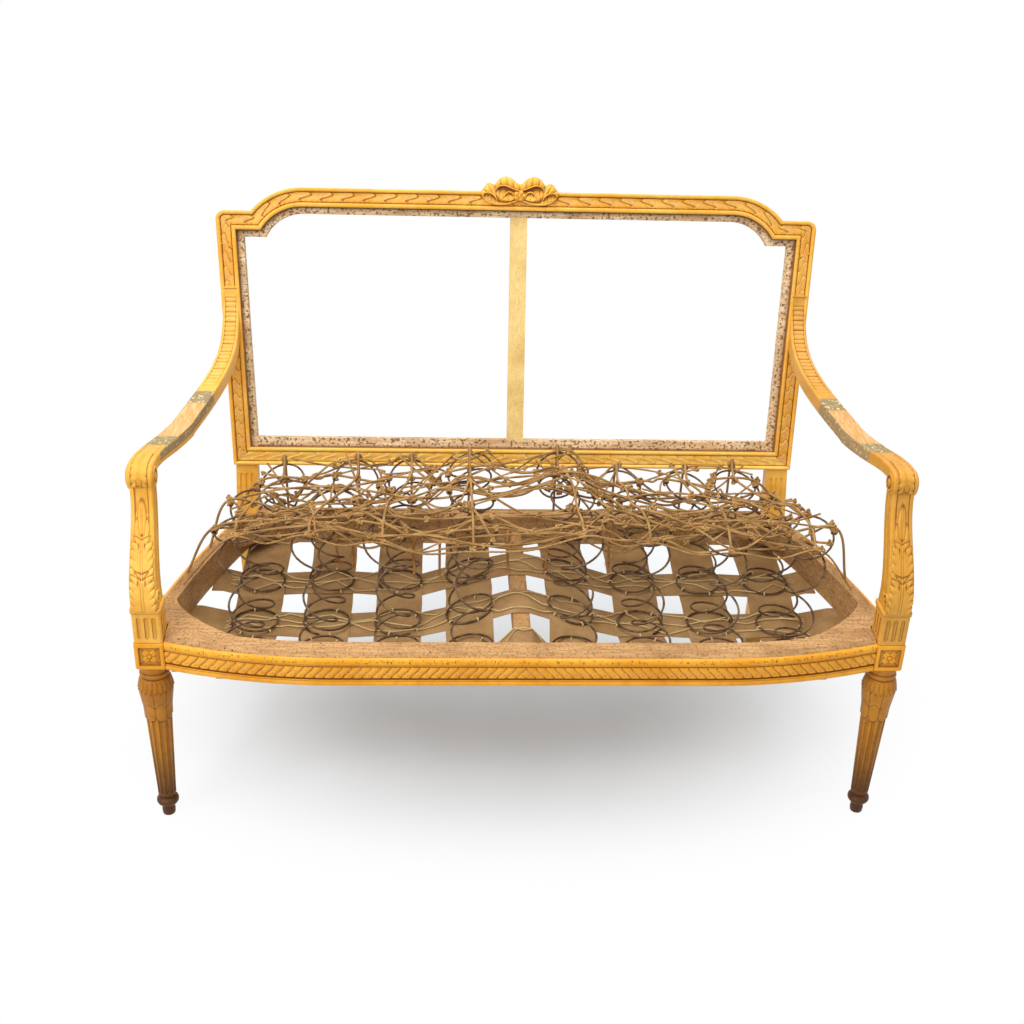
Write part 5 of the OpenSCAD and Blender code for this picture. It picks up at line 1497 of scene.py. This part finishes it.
@dataclass
class Springs:
    """Twenty-four hourglass springs that lean back in a tangle, one unbroken coil each."""

    plan: Plan
    web: Webbing
    low_r: float = 39.0
    waist_r: float = 24.0
    top_r: float = 39.0
    wire: float = 1.9
    turns: float = 4.75
    heights: tuple[float, float] = (145.0, 155.0)
    lean: tuple[float, ...] = (1.08, 0.97, 0.58)
    inward: tuple[float, ...] = (-0.08, -0.02, 0.1)
    tip: tuple[float, ...] = (0.2, 0.25, 0.5)
    stray: float = 0.2
    sway: float = 0.5
    rings: int = 26

    def row_y(self, row: int) -> float:
        """Middle of a row's lowest rings; the front row stands clear of the front rail."""
        if row:
            return self.web.cross_y[row]
        inset = self.plan.front_t + 1.0 + self.low_r + self.wire
        return self.plan.front_y_at(self.web.strap_x(3), inset)

    def height(self, row: int) -> float:
        """Height of a row's springs."""
        return mix(self.heights[0], self.heights[1], row / 2)

    def tips(self, col: int, row: int, side: Side) -> tuple[float, float]:
        """Slopes of a top ring, outward and rearward."""
        s = side.value
        return (
            self.stray * sind(97 * col + 151 * row + 67 * s + 40),
            self.tip[row] + self.stray * sind(61 * col + 113 * row + 97 * s + 200),
        )

    def leans(self, col: int, row: int, side: Side) -> tuple[float, float]:
        """How far a spring's top stands off its foot, outward and rearward."""
        s = side.value
        sway = self.waist_r * self.sway * sind(131 * col + 59 * row + 83 * s)
        back = self.height(row) * self.lean[row] * (1 + self.stray * 0.4 * sind(83 * col + 47 * row + 71 * s))
        return sway - self.inward[row] * self.web.strap_x(col), back

    def foot(self, col: int, row: int) -> float:
        """Height of the middle of the lowest ring's wire."""
        return self.web.height(self.web.strap_x(col), row) + self.web.thick + 0.45 + self.wire

    def drop(self, col: int, row: int) -> float:
        """Slope of the webbing under a spring, outward."""
        x0 = self.web.strap_x(col)
        return (self.web.height(x0 + 40.0, row) - self.web.height(x0, row)) / 40.0

    def coil(self, col: int, row: int, side: Side) -> Array:
        """Middle line of one spring's wire, drawn for the right half.

        With s = t^3 (10 - 15 t + 6 t^2), the radius is waist + (ring - waist) cos^2(pi s), the height
        grows with s, the lean with s^2 and the tip of the ring with s^3.
        """
        t = np.linspace(0.0, 1.0, int(self.rings * self.turns) + 1)
        s = t**3 * (10 - 15 * t + 6 * t * t)
        a = np.radians(140 + 47 * col + 83 * row + 31 * side.value + 360 * self.turns * t)
        ring = np.where(s < 0.5, self.low_r, self.top_r)
        r = self.waist_r + (ring - self.waist_r) * np.cos(np.pi * s) ** 2
        dx, dy = r * np.cos(a), r * np.sin(a)
        tip_x, tip_y = self.tips(col, row, side)
        lean_x, lean_y = self.leans(col, row, side)
        z = self.foot(col, row) + self.drop(col, row) * dx * (1 - s) + self.height(row) * s
        z = z + s**3 * (tip_x * dx + tip_y * dy)
        return grid(self.web.strap_x(col) + dx + lean_x * s * s, self.row_y(row) + dy + lean_y * s * s, z)

    def ring_at(self, col: int, row: int, side: Side, across: float, rearward: float) -> Array:
        """A place on the twine over a top ring, at a share of its radius across and rearward."""
        tip_x, tip_y = self.tips(col, row, side)
        lean_x, lean_y = self.leans(col, row, side)
        rise = 4.4 * math.sqrt(1 + tip_x**2 + tip_y**2)
        x, y = self.web.strap_x(col) + lean_x, self.row_y(row) + lean_y
        top = np.array([x, y, self.foot(col, row) + self.height(row) + rise])
        return top + self.top_r * np.array([across, rearward, across * tip_x + rearward * tip_y])

    def build(self, steel: Material) -> None:
        """Makes each spring in place of its solid."""
        words = ("front", "middle", "rear")
        for row, side, col in product(range(3), Side, range(4)):
            name = f"spring_{words[row]}_{side.word}_{col + 1}"
            path = self.coil(col, row, side) * (side.value, 1, 1)
            piece = Shape().tube(path, self.wire, 8).build("coil_" + name, steel)
            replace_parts(piece, name)


@dataclass
class Stitching:
    """Pale twine that sews the lowest rings to the straps and humps over the bearer."""

    springs: Springs
    radius: float = 1.3
    ties: int = 5

    def tie(self, col: int, row: int, side: Side, angle: float) -> Array:
        """A stitch over the lowest ring's wire: an arch square to the wire, both feet in the strap."""
        s = self.springs
        out = np.array([math.cos(angle), math.sin(angle), 0.0])
        at = out * s.low_r + (s.web.strap_x(col), s.row_y(row), s.foot(col, row))
        at[2] += s.drop(col, row) * at[0] - s.drop(col, row) * s.web.strap_x(col)
        b = np.linspace(-0.6, math.pi + 0.6, 13)[:, None]
        arch = at + (s.wire + self.radius) * (np.cos(b) * out * 1.25 + np.sin(b) * np.array(UPWARD))
        return arch * (side.value, 1, 1)

    def run(self, row: int, shift: float) -> Array:
        """The twine's run along a strap across, from stitch to stitch, lifted by each strap it crosses."""
        web = self.springs.web
        x = np.linspace(-540.0, 540.0, 361)
        cols = np.array([web.strap_x(c) for c in range(4)])
        near = np.abs(np.abs(x)[:, None] - cols).min(axis=1)
        lift = 1.0 + web.thick / 2 + self.radius + 1.6 * ease((46.0 - near) / 6.0)
        wander = np.interp(x, np.linspace(-540, 540, 31), noise((31,), 51 + row + int(shift), 19.0))
        y = self.springs.row_y(row) + shift + wander
        low, high = web.cross_y[row] - 33.0, web.cross_y[row] + 33.0
        return grid(x, np.clip(y, low, high), web.height(x, row) + lift)

    def build(self, twine: Material) -> None:
        """Makes all the stitches as one piece of sewing."""
        shape = Shape()
        for row in range(3):
            for shift in (-16.0, 4.0, 20.0):
                shape.tube(resample(self.run(row, shift), 3.0), 1.0, 6, 3, 9.0)
            for col, side, k in product(range(4), Side, range(self.ties)):
                angle = 0.7 * col + row + 2 * math.pi * k / self.ties + 0.4 * side.value
                shape.tube(self.tie(col, row, side, angle), self.radius, 6)
        shape.build("stitching_twine", twine)


@dataclass
class Lashing:
    """Jute twine over the springs: lines across and from front to back, knots, and cut ends."""

    plan: Plan
    springs: Springs
    radius: float = 2.2
    sag: float = 8.0
    past: float = 1 + 4.4 / 39.0
    seats: tuple[tuple[int, int, int], ...] = (
        (-1, 2, -1), (-1, 1, 1), (-1, 1, -1), (-1, 0, 1), (-1, 0, -1), (1, 0, -1), (1, 0, 1),
    )
    tail: float = 70.0
    order: tuple[tuple[int, Side], ...] = (
        *((c, Side.LEFT) for c in (3, 2, 1, 0)), *((c, Side.RIGHT) for c in (0, 1, 2, 3)),
    )

    def ring(self, col: int, row: int, side: Side, across: float, rearward: float) -> Array:
        """A place over a top ring, on the ring's own side of the settee."""
        return self.springs.ring_at(col, row, side, across, rearward) * (side.value, 1, 1)

    def slack(self, a: Array, b: Array, more: float = 1.0) -> Array:
        """Lowest point of a slack line between two places."""
        return (a + b) / 2 - (0, 0, more * self.sag * min(1.0, np.linalg.norm(b - a) / 87.0))

    def chain(self, stops: list[Array], sags: Iterable[float | None]) -> list[Array]:
        """The stops in turn, with a slack line's lowest point before each whose sag isn't None."""
        points = stops[:1]
        for last, stop, more in zip(stops, stops[1:], sags):
            points += [stop] if more is None else [self.slack(last, stop, more), stop]
        return points

    def row_stops(self, row: int) -> list[Array]:
        """Where a line across passes each ring's wire, from the left rail to the right."""
        return [
            self.ring(col, row, side, way * side.value * self.past, 0.0)
            for col, side in self.order for way in (-1, 1)
        ]

    def row_line(self, row: int) -> Array:
        """Points of a whole line across, slack between rings, tied down at both side rails."""
        points = self.chain(self.row_stops(row), cycle((None, 1.0)))
        return np.array([self.rail_end(row, Side.LEFT), *points, self.rail_end(row, Side.RIGHT)])

    def rail_end(self, row: int, side: Side) -> Array:
        """Where a line across is tacked to the side rail's top."""
        y = min(self.ring(3, row, side, 0, 0)[1], self.plan.rear_in_y - 32.0)
        x = self.plan.side_x_at(y, 16.0)
        return np.array([x * side.value, y, self.plan.raw_top + 0.3 + self.radius])

    def column_line(self, col: int, side: Side) -> Array:
        """Points of a line from front to back over one column's springs, laid over the lines across."""
        points = [self.ring(col, 0, side, 0, -self.past)]
        for row in range(3):
            if row:
                a, b = self.ring(col, row - 1, side, 0, 1), self.ring(col, row, side, 0, -1)
                points.append(np.array([(a[0] + b[0]) / 2, (a[1] + b[1]) / 2, max(a[2], b[2]) + 3.0]))
            tip = self.springs.tips(col, row, side)
            rise = 5.0 * math.sqrt(1 + tip[0] ** 2 + tip[1] ** 2)
            points.append(self.ring(col, row, side, 0, 0) + (0, 0, rise))
        end = self.ring(col, 2, side, 0, self.past)
        return np.array(points + [end, (end[0], self.plan.rear_in_y + 9.6, self.plan.raw_top + 2.5)])

    def loose_lines(self) -> list[Array]:
        """The tangle: a second line along the fronts of the front rings, and slack diagonals."""
        fronts = [self.ring(col, 0, side, 0.25, -1.12) for col, side in self.order]
        left, right = (self.rail_end(0, side) - (0, 40.0, 0) for side in Side)
        lines = [np.array([left, *self.chain(fronts, repeat(1.6)), right])]
        for side, row, col in product(Side, (0, 1), range(3)):
            a = self.ring(col, row, side, 0.55, 0.9) + (0, 0, 2.0)
            b = self.ring(col + 1, row + 1, side, -0.75, -0.8) + (0, 0, 2.0)
            c = self.ring(col + 1, row, side, -0.5, 0.95) + (0, 0, 3.0)
            d = self.ring(col, row + 1, side, 0.8, -0.7) + (0, 0, 3.0)
            lines.append(np.array([a, self.slack(a, b, 0.8), b]))
            if (col + row) % 2:
                lines.append(np.array([c, self.slack(c, d, 0.6) + (0, 0, 6.0), d]))
        return lines

    def net_lines(self) -> list[Array]:
        """The rest of the eight-way ties: slanted lines over the rings, and slack strays between them.

        A slanted line passes each ring's wire at a seeded angle near 45 degrees; a stray touches each
        ring of a row at any seeded angle and sags from one to the next.
        """
        lines = []
        draw = np.random.default_rng(77)
        for k, way in product(range(-2, 8), (1, -1)):
            stops: list[Array] = []
            for row in range(3):
                place_k = k + row if way > 0 else 7 - k - row
                if not 0 <= place_k < 8:
                    continue
                col, side = self.order[place_k]
                for turn in (1.25, 0.25):
                    a = np.pi * turn + draw.uniform(-0.75, 0.75)
                    u, v = 1.1 * np.cos(a) * (way * side.value), 1.1 * np.sin(a)
                    stops.append(self.ring(col, row, side, u, v) + (0, 0, 2.4))
            if len(stops) > 2:
                lines.append(np.array(self.chain(stops, cycle((None, 1.2)))))
        for row in range(3):
            for _ in range(7 if row == 0 else 5):
                turns = draw.uniform(0, 2 * np.pi, 8)
                stops = [
                    self.ring(col, row, side, np.cos(a), np.sin(a)) + (0, 0, 1.5)
                    for (col, side), a in zip(self.order, turns)
                ]
                drops = draw.uniform(-1.5, 4.2, 8)
                lines.append(np.array(self.chain(stops, drops[1:])))
        return lines

    def tail_line(self, k: int) -> Array:
        """Middle line of a cut end that hangs from the front line."""
        hand, col, way = self.seats[k]
        side, r = Side(hand), self.radius
        tie = self.springs.ring_at(col, 0, side, way * self.past, 0)
        if col + way < 0:
            near = self.springs.ring_at(0, 0, Side(-hand), -self.past, 0) * (-1, 1, 1)
        else:
            near = self.springs.ring_at(col + way, 0, side, -way * self.past, 0)
        run = self.slack(tie, near) - tie
        slope = abs(run[2]) / np.hypot(run[0], run[1])
        top = tie + run * 0.4 - (0, 0, 0.3 + r * (slope + math.sqrt(1 + slope**2)))
        bend = np.array([r * (col + 1 - way), -r * (1 + k % 3), -self.tail / 2])
        low = top + (bend[0] / 2, bend[1] * 2, -self.tail * (1 + 0.1 * sind(137 * k)))
        return np.array([top, top + bend / 2, top + bend, low]) * (hand, 1, 1)

    def knot(self, at: Array, turn: float, size: float) -> Array:
        """A pulled-tight knot: a trefoil, (sin a + 2 sin 2a, cos a - 2 cos 2a, -1.3 sin 3a), shrunk."""
        a = np.linspace(0.0, 2 * np.pi, 27)[:-1]
        curve = grid(np.sin(a) + 2 * np.sin(2 * a), np.cos(a) - 2 * np.cos(2 * a), -1.3 * np.sin(3 * a))
        c, s = math.cos(turn), math.sin(turn)
        turned = curve @ np.array([[c, s * 0.6, s * 0.8], [-s, c * 0.6, c * 0.8], [0.0, -0.8, 0.6]])
        return at + turned * size

    def wrap(self, at: Array, along: Array, seed: int) -> Array:
        """Twine wound round the ring's wire: a helix of uneven radius whose ends stray off."""
        along = unit(np.asarray(along, float))
        u = unit(np.cross(along, UPWARD))
        v = np.cross(along, u)
        draw = np.random.default_rng(seed)
        turns = draw.uniform(2.2, 3.6)
        t = np.linspace(0.0, 1.0, 46)[:, None]
        stray = 9.0 * (hold(t - 0.9) + hold(0.1 - t))
        r = 4.1 + 0.7 * np.sin(9.0 * t + draw.uniform(0, 6)) + stray
        a = 2 * np.pi * turns * t + draw.uniform(0, 6)
        return at + (0, 0, -4.4) + along * (t - 0.5) * turns * 3.7 + r * (np.cos(a) * u + np.sin(a) * v)

    def fray(self, shape: Shape, path: Array, seed: int) -> None:
        """Loose fibres that splay from a cut end, each a thin bent hair."""
        draw = np.random.default_rng(seed)
        end, way = path[-1], unit(path[-1] - path[-4])
        for _ in range(11):
            start = end - way * draw.uniform(0.5, 5.0) + draw.uniform(-1.3, 1.3, 3)
            lean = unit(way + draw.uniform(-0.55, 0.55, 3))
            far = start + lean * draw.uniform(7.0, 16.0)
            middle = (start + far) / 2 + draw.uniform(-1.6, 1.6, 3)
            shape.tube(spline([start, middle, far], 4), np.linspace(0.62, 0.25, 9), 4)

    def build(self, twine: Material, cut: Material) -> None:
        """Makes the lines, their knots and the cut ends in place of their solids."""
        rows, columns, knots = Shape(), Shape(), Shape()
        for row in range(3):
            rows.tube(resample(spline(self.row_line(row)), 2.4), self.radius, 9, 3)
        for line in self.loose_lines():
            rows.tube(resample(spline(line), 2.6), 1.7, 7, 3, 11.0)
        for col, side in product(range(4), Side):
            columns.tube(resample(spline(self.column_line(col, side)), 2.4), self.radius, 9, 3)
        spots = ((-1, 0), (1, 0), (0, -1), (0, 1), (0, 0))
        for row, col, side, k in product(range(3), range(4), Side, range(5)):
            u, v = spots[k]
            at = self.ring(col, row, side, u, v)
            seed = 100 * row + 10 * col + k + 500 * (1 + side.value)
            size = 1.7 + 0.6 * sind(71 * seed) ** 2
            knots.hoop(self.knot(at, 1.3 * col + 2.1 * row + k, size), 1.8)
            if k < 4:
                way = self.ring(col, row, side, u + 0.1 * v, v + 0.1 * u) - at
                knots.tube(self.wrap(at, way, seed), 1.6, 6, 3, 9.0)
        net = Shape()
        for k, line in enumerate(self.net_lines()):
            net.tube(resample(spline(line, 8), 3.2), 1.7 + 0.4 * (k % 2), 6, 3, 10.0)
            for j, at in enumerate(line):
                if (j + k) % 2:
                    net.hoop(self.knot(at, 1.7 * j + k, 1.2 + 0.7 * sind(67 * j + 31 * k) ** 2), 1.6)
        net.build("twine_net", twine)
        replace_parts(rows.build("twine_rows", twine), "lashing_rows")
        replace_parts(columns.build("twine_columns", twine), "lashing_columns")
        knots.build("twine_knots", twine)
        frays = Shape()
        for k in range(len(self.seats)):
            path = resample(spline(self.tail_line(k)), 2.2)
            self.fray(frays, path, 7 * k)
            piece = Shape().tube(path, self.radius, 9, 3).build(f"twine_end_{k + 1}", cut)
            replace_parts(piece, "lashing_tails")
            line = place(path)
        frays.build("twine_frayed_ends", cut)


# ---- the studio


@dataclass
class Studio:
    """Plain pale floor, soft lamps and the camera at the photograph's angle."""

    eye: tuple[float, float, float] = (-142.51, -1909.59, 1616.24)
    yaw: float = 3.44
    pitch: float = 28.18
    roll: float = 2.08
    lens: float = 49.34
    floor_glow: float = 0.06

    def camera(self) -> None:
        """The camera: its matrix has the picture's right, its up, and the way back as columns."""
        yaw, pitch, roll = (math.radians(a) for a in (self.yaw, self.pitch, self.roll))
        ahead = np.array([math.sin(yaw) * math.cos(pitch), math.cos(yaw) * math.cos(pitch), -math.sin(pitch)])
        right = np.array([math.cos(yaw), -math.sin(yaw), 0.0])
        up = np.cross(right, ahead)
        r = math.cos(roll) * right + math.sin(roll) * up
        u = -math.sin(roll) * right + math.cos(roll) * up
        data = bpy.data.cameras.new("camera")
        data.lens, data.sensor_width, data.sensor_fit = self.lens, 36.0, "HORIZONTAL"
        bpy.context.scene.camera = self.stand(data, r, u, -ahead, place(self.eye))

    @staticmethod
    def stand(data: bpy.types.ID, *columns: Array) -> bpy.types.Object:
        """Puts a camera or lamp into the room: its right, its up, its way back and its place."""
        thing = put(data.name, data)
        matrix = np.eye(4)
        matrix[:3] = np.stack(columns, axis=1)
        thing.matrix_world = Matrix(matrix.tolist())
        return thing

    def lamp(self, name: str, at: tuple[float, float, float], size: float, watts: float) -> None:
        """A square soft lamp that faces the middle of the seat."""
        data = bpy.data.lights.new(name, "AREA")
        data.shape, data.size, data.energy = "SQUARE", size, watts
        back = unit(np.array(at) - (0.0, 0.0, 0.45))
        side = unit(np.cross(UPWARD, back))
        self.stand(data, side, np.cross(back, side), back, np.array(at))

    @staticmethod
    def seen(tree: bpy.types.NodeTree) -> tuple[Node, Socket]:
        """The ray's own node, and 1 where the camera or a gloss sees the place."""
        ray = add(tree, "LightPath")
        rays = {0: ray.outputs["Is Camera Ray"], 1: ray.outputs["Is Glossy Ray"]}
        return ray, add(tree, "Math", rays, operation="MAXIMUM").outputs[0]

    def world(self) -> None:
        """White seen by the camera and in gloss; a plain grey-white light on the object."""
        world = bpy.data.worlds.new("studio")
        bpy.context.scene.world = world
        world.use_nodes = True
        tree = world.node_tree
        tree.nodes.clear()
        ray, seen = self.seen(tree)
        rays = {0: seen, 1: ray.outputs["Is Transmission Ray"]}
        seen = add(tree, "Math", rays, operation="MAXIMUM").outputs[0]
        light = add(tree, "Background", {"Color": WHITE, "Strength": 0.6}).outputs[0]
        white = add(tree, "Background", {"Color": WHITE, "Strength": 1.0}).outputs[0]
        both = add(tree, "MixShader", {0: seen, 1: light, 2: white}).outputs[0]
        add(tree, "OutputWorld", {"Surface": both})

    def floor(self) -> None:
        """A wide white floor that keeps the settee's soft shadow and fades to plain white far off."""
        mesh = bpy.data.meshes.new("floor")
        s = 16.0
        mesh.from_pydata([(-s, -s, 0), (s, -s, 0), (s, s, 0), (-s, s, 0)], [], [(0, 1, 2, 3)])
        n = Nodes("white_studio_floor")
        _, seen = self.seen(n.tree)
        paint = n.add("BsdfDiffuse", {"Color": (0.70, 0.735, 0.765, 1)})
        glow = n.add("Math", {0: seen, 1: self.floor_glow}, **TIMES)
        near = n.add("AddShader", {0: paint, 1: n.add("Emission", {"Color": WHITE, "Strength": glow})})
        spot = n.add("TexCoord", out="Object")
        under = n.add("Mapping", {"Vector": spot, "Location": (0.0, -0.2, 0.0), "Scale": (0.8, 1.0, 1.0)})
        away = n.add("VectorMath", {0: under}, "Value", operation="LENGTH")
        fade = n.add("MapRange", {"Value": away, "From Min": 0.22, "From Max": 0.72}, **SMOOTH)
        far = n.add("Math", {0: fade, 1: seen}, **TIMES)
        white = n.add("Emission", {"Color": WHITE, "Strength": 1.0})
        both = n.add("MixShader", {0: far, 1: near, 2: white})
        n.tree.links.new(both, n.tree.nodes["Material Output"].inputs["Surface"])
        n.tree.nodes.remove(n.shader)
        mesh.materials.append(n.material)
        floor = put("floor", mesh)

    def build(self) -> None:
        """Sets up camera, lamps, world and floor."""
        self.camera()
        self.world()
        self.lamp("lamp_front_left", (-2.3, -2.1, 2.7), 2.0, 60.0)
        self.lamp("lamp_front_right", (2.6, -2.2, 2.4), 2.2, 3.0)
        self.lamp("lamp_above", (-0.2, 0.1, 3.4), 2.4, 78.0)
        self.floor()
        bpy.context.scene.view_settings.view_transform = "Standard"


def finish_solids(paint: Material, woods: dict[str, Material]) -> None:
    """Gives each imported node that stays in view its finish.

    Args:
        paint: finish of the painted pieces.
        woods: finish of each raw piece, by the start of its name.
    """
    for name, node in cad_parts.items():
        found = [wood for start, wood in woods.items() if name.startswith(start)]
        node.data.materials.clear()
        node.data.materials.append(found[0] if found else paint)


def main() -> None:
    """Builds the studio, the finishes and every piece in turn."""
    logging.basicConfig(level=logging.INFO, format="%(name)s %(message)s")
    Studio().build()
    paint = PaintedBeech().make()
    # A lighter copy of the gold for the back's bottom rail: painted light, as it gets less light than the
    # crest.
    lower = PaintedBeech("painted_beech_bottom_rail", "#FFC858", "#FFD36C", "#EBB046").make()
    posts = PaintedBeech("painted_beech_posts", foot="#6E3F12", foot_top_mm=150.0).make()
    # A darker, deeper gold for the seat rails and leg blocks: painted shade of the same paint on these lower,
    # front-facing parts.
    seat = PaintedBeech("painted_beech_seat", "#EA9C20", "#F4AB30", "#CA8018", "#7C430C").make()
    worn = {"speck": 0.4, "speck_mm": 4.0}
    across = BareBeech("bare_beech_rail", Grain.ACROSS, "#B88A58", tacks=0.95, **worn).make()
    deep = BareBeech("bare_beech_side", Grain.DEEP, "#B0824E", "#C0935F", "#7C5630", **worn).make()
    tacked = BareBeech(
        "bare_beech_tacked", Grain.ACROSS, "#E0B582", "#F4DAB0", "#A67C50", "#5A3C22", 0.8, 0.8, 5.0
    ).make()
    pale = BareBeech("primed_beech", Grain.UP, "#EBC77C", "#F3D48E", "#C99B4A", tacks=0.1, speck=0.1).make()
    woods = {
        "back_post": posts, "back_mullion": pale, "front_seat_rail": across, "rear_seat_rail": across,
        "side_seat_rail": deep, "front_corner": across, "rear_corner": across, "centre_bearer": deep,
    }
    finish_solids(paint, woods)
    plan = Plan()
    BackFrame(plan).build(paint, lower, tacked)
    SeatRails(plan).build(seat)
    web = Webbing(plan)
    web.build(JuteWebbing().make())
    springs = Springs(plan, web)
    springs.build(SpringSteel().make())
    twine = JuteTwine().make()
    cut = JuteTwine("jute_twine_frayed", "#A06C34", "#C08A4C").make()
    Lashing(plan, springs).build(twine, cut)
    Stitching(springs).build(JuteTwine("jute_twine_pale", "#CBB07A", "#DCC48E", "#9A7C48").make())
    # A darker copy of the gold for the right arm and its support: painted shade, as the light falls from the
    # left.
    shaded = PaintedBeech("painted_beech_right_arm", "#D19430", "#DDA143", "#B67A26", "#7C430C").make()
    paints = {Side.LEFT: paint, Side.RIGHT: shaded}
    Arms(plan).build(paints)
    ArmSupports(plan).build(paints)
    # A darker gold for the turned legs: painted shade of the same paint under the seat, darker still towards
    # the feet.
    legs = PaintedBeech(
        "painted_beech_legs", "#AE6C10", "#C07E1C", "#84490A", "#4E2804", foot="#40200A", foot_top_mm=190.0
    ).make()
    FrontLegs(plan).build(seat, legs)
    Ribbon(plan).build(paint)


if __name__ == "__main__":
    main()
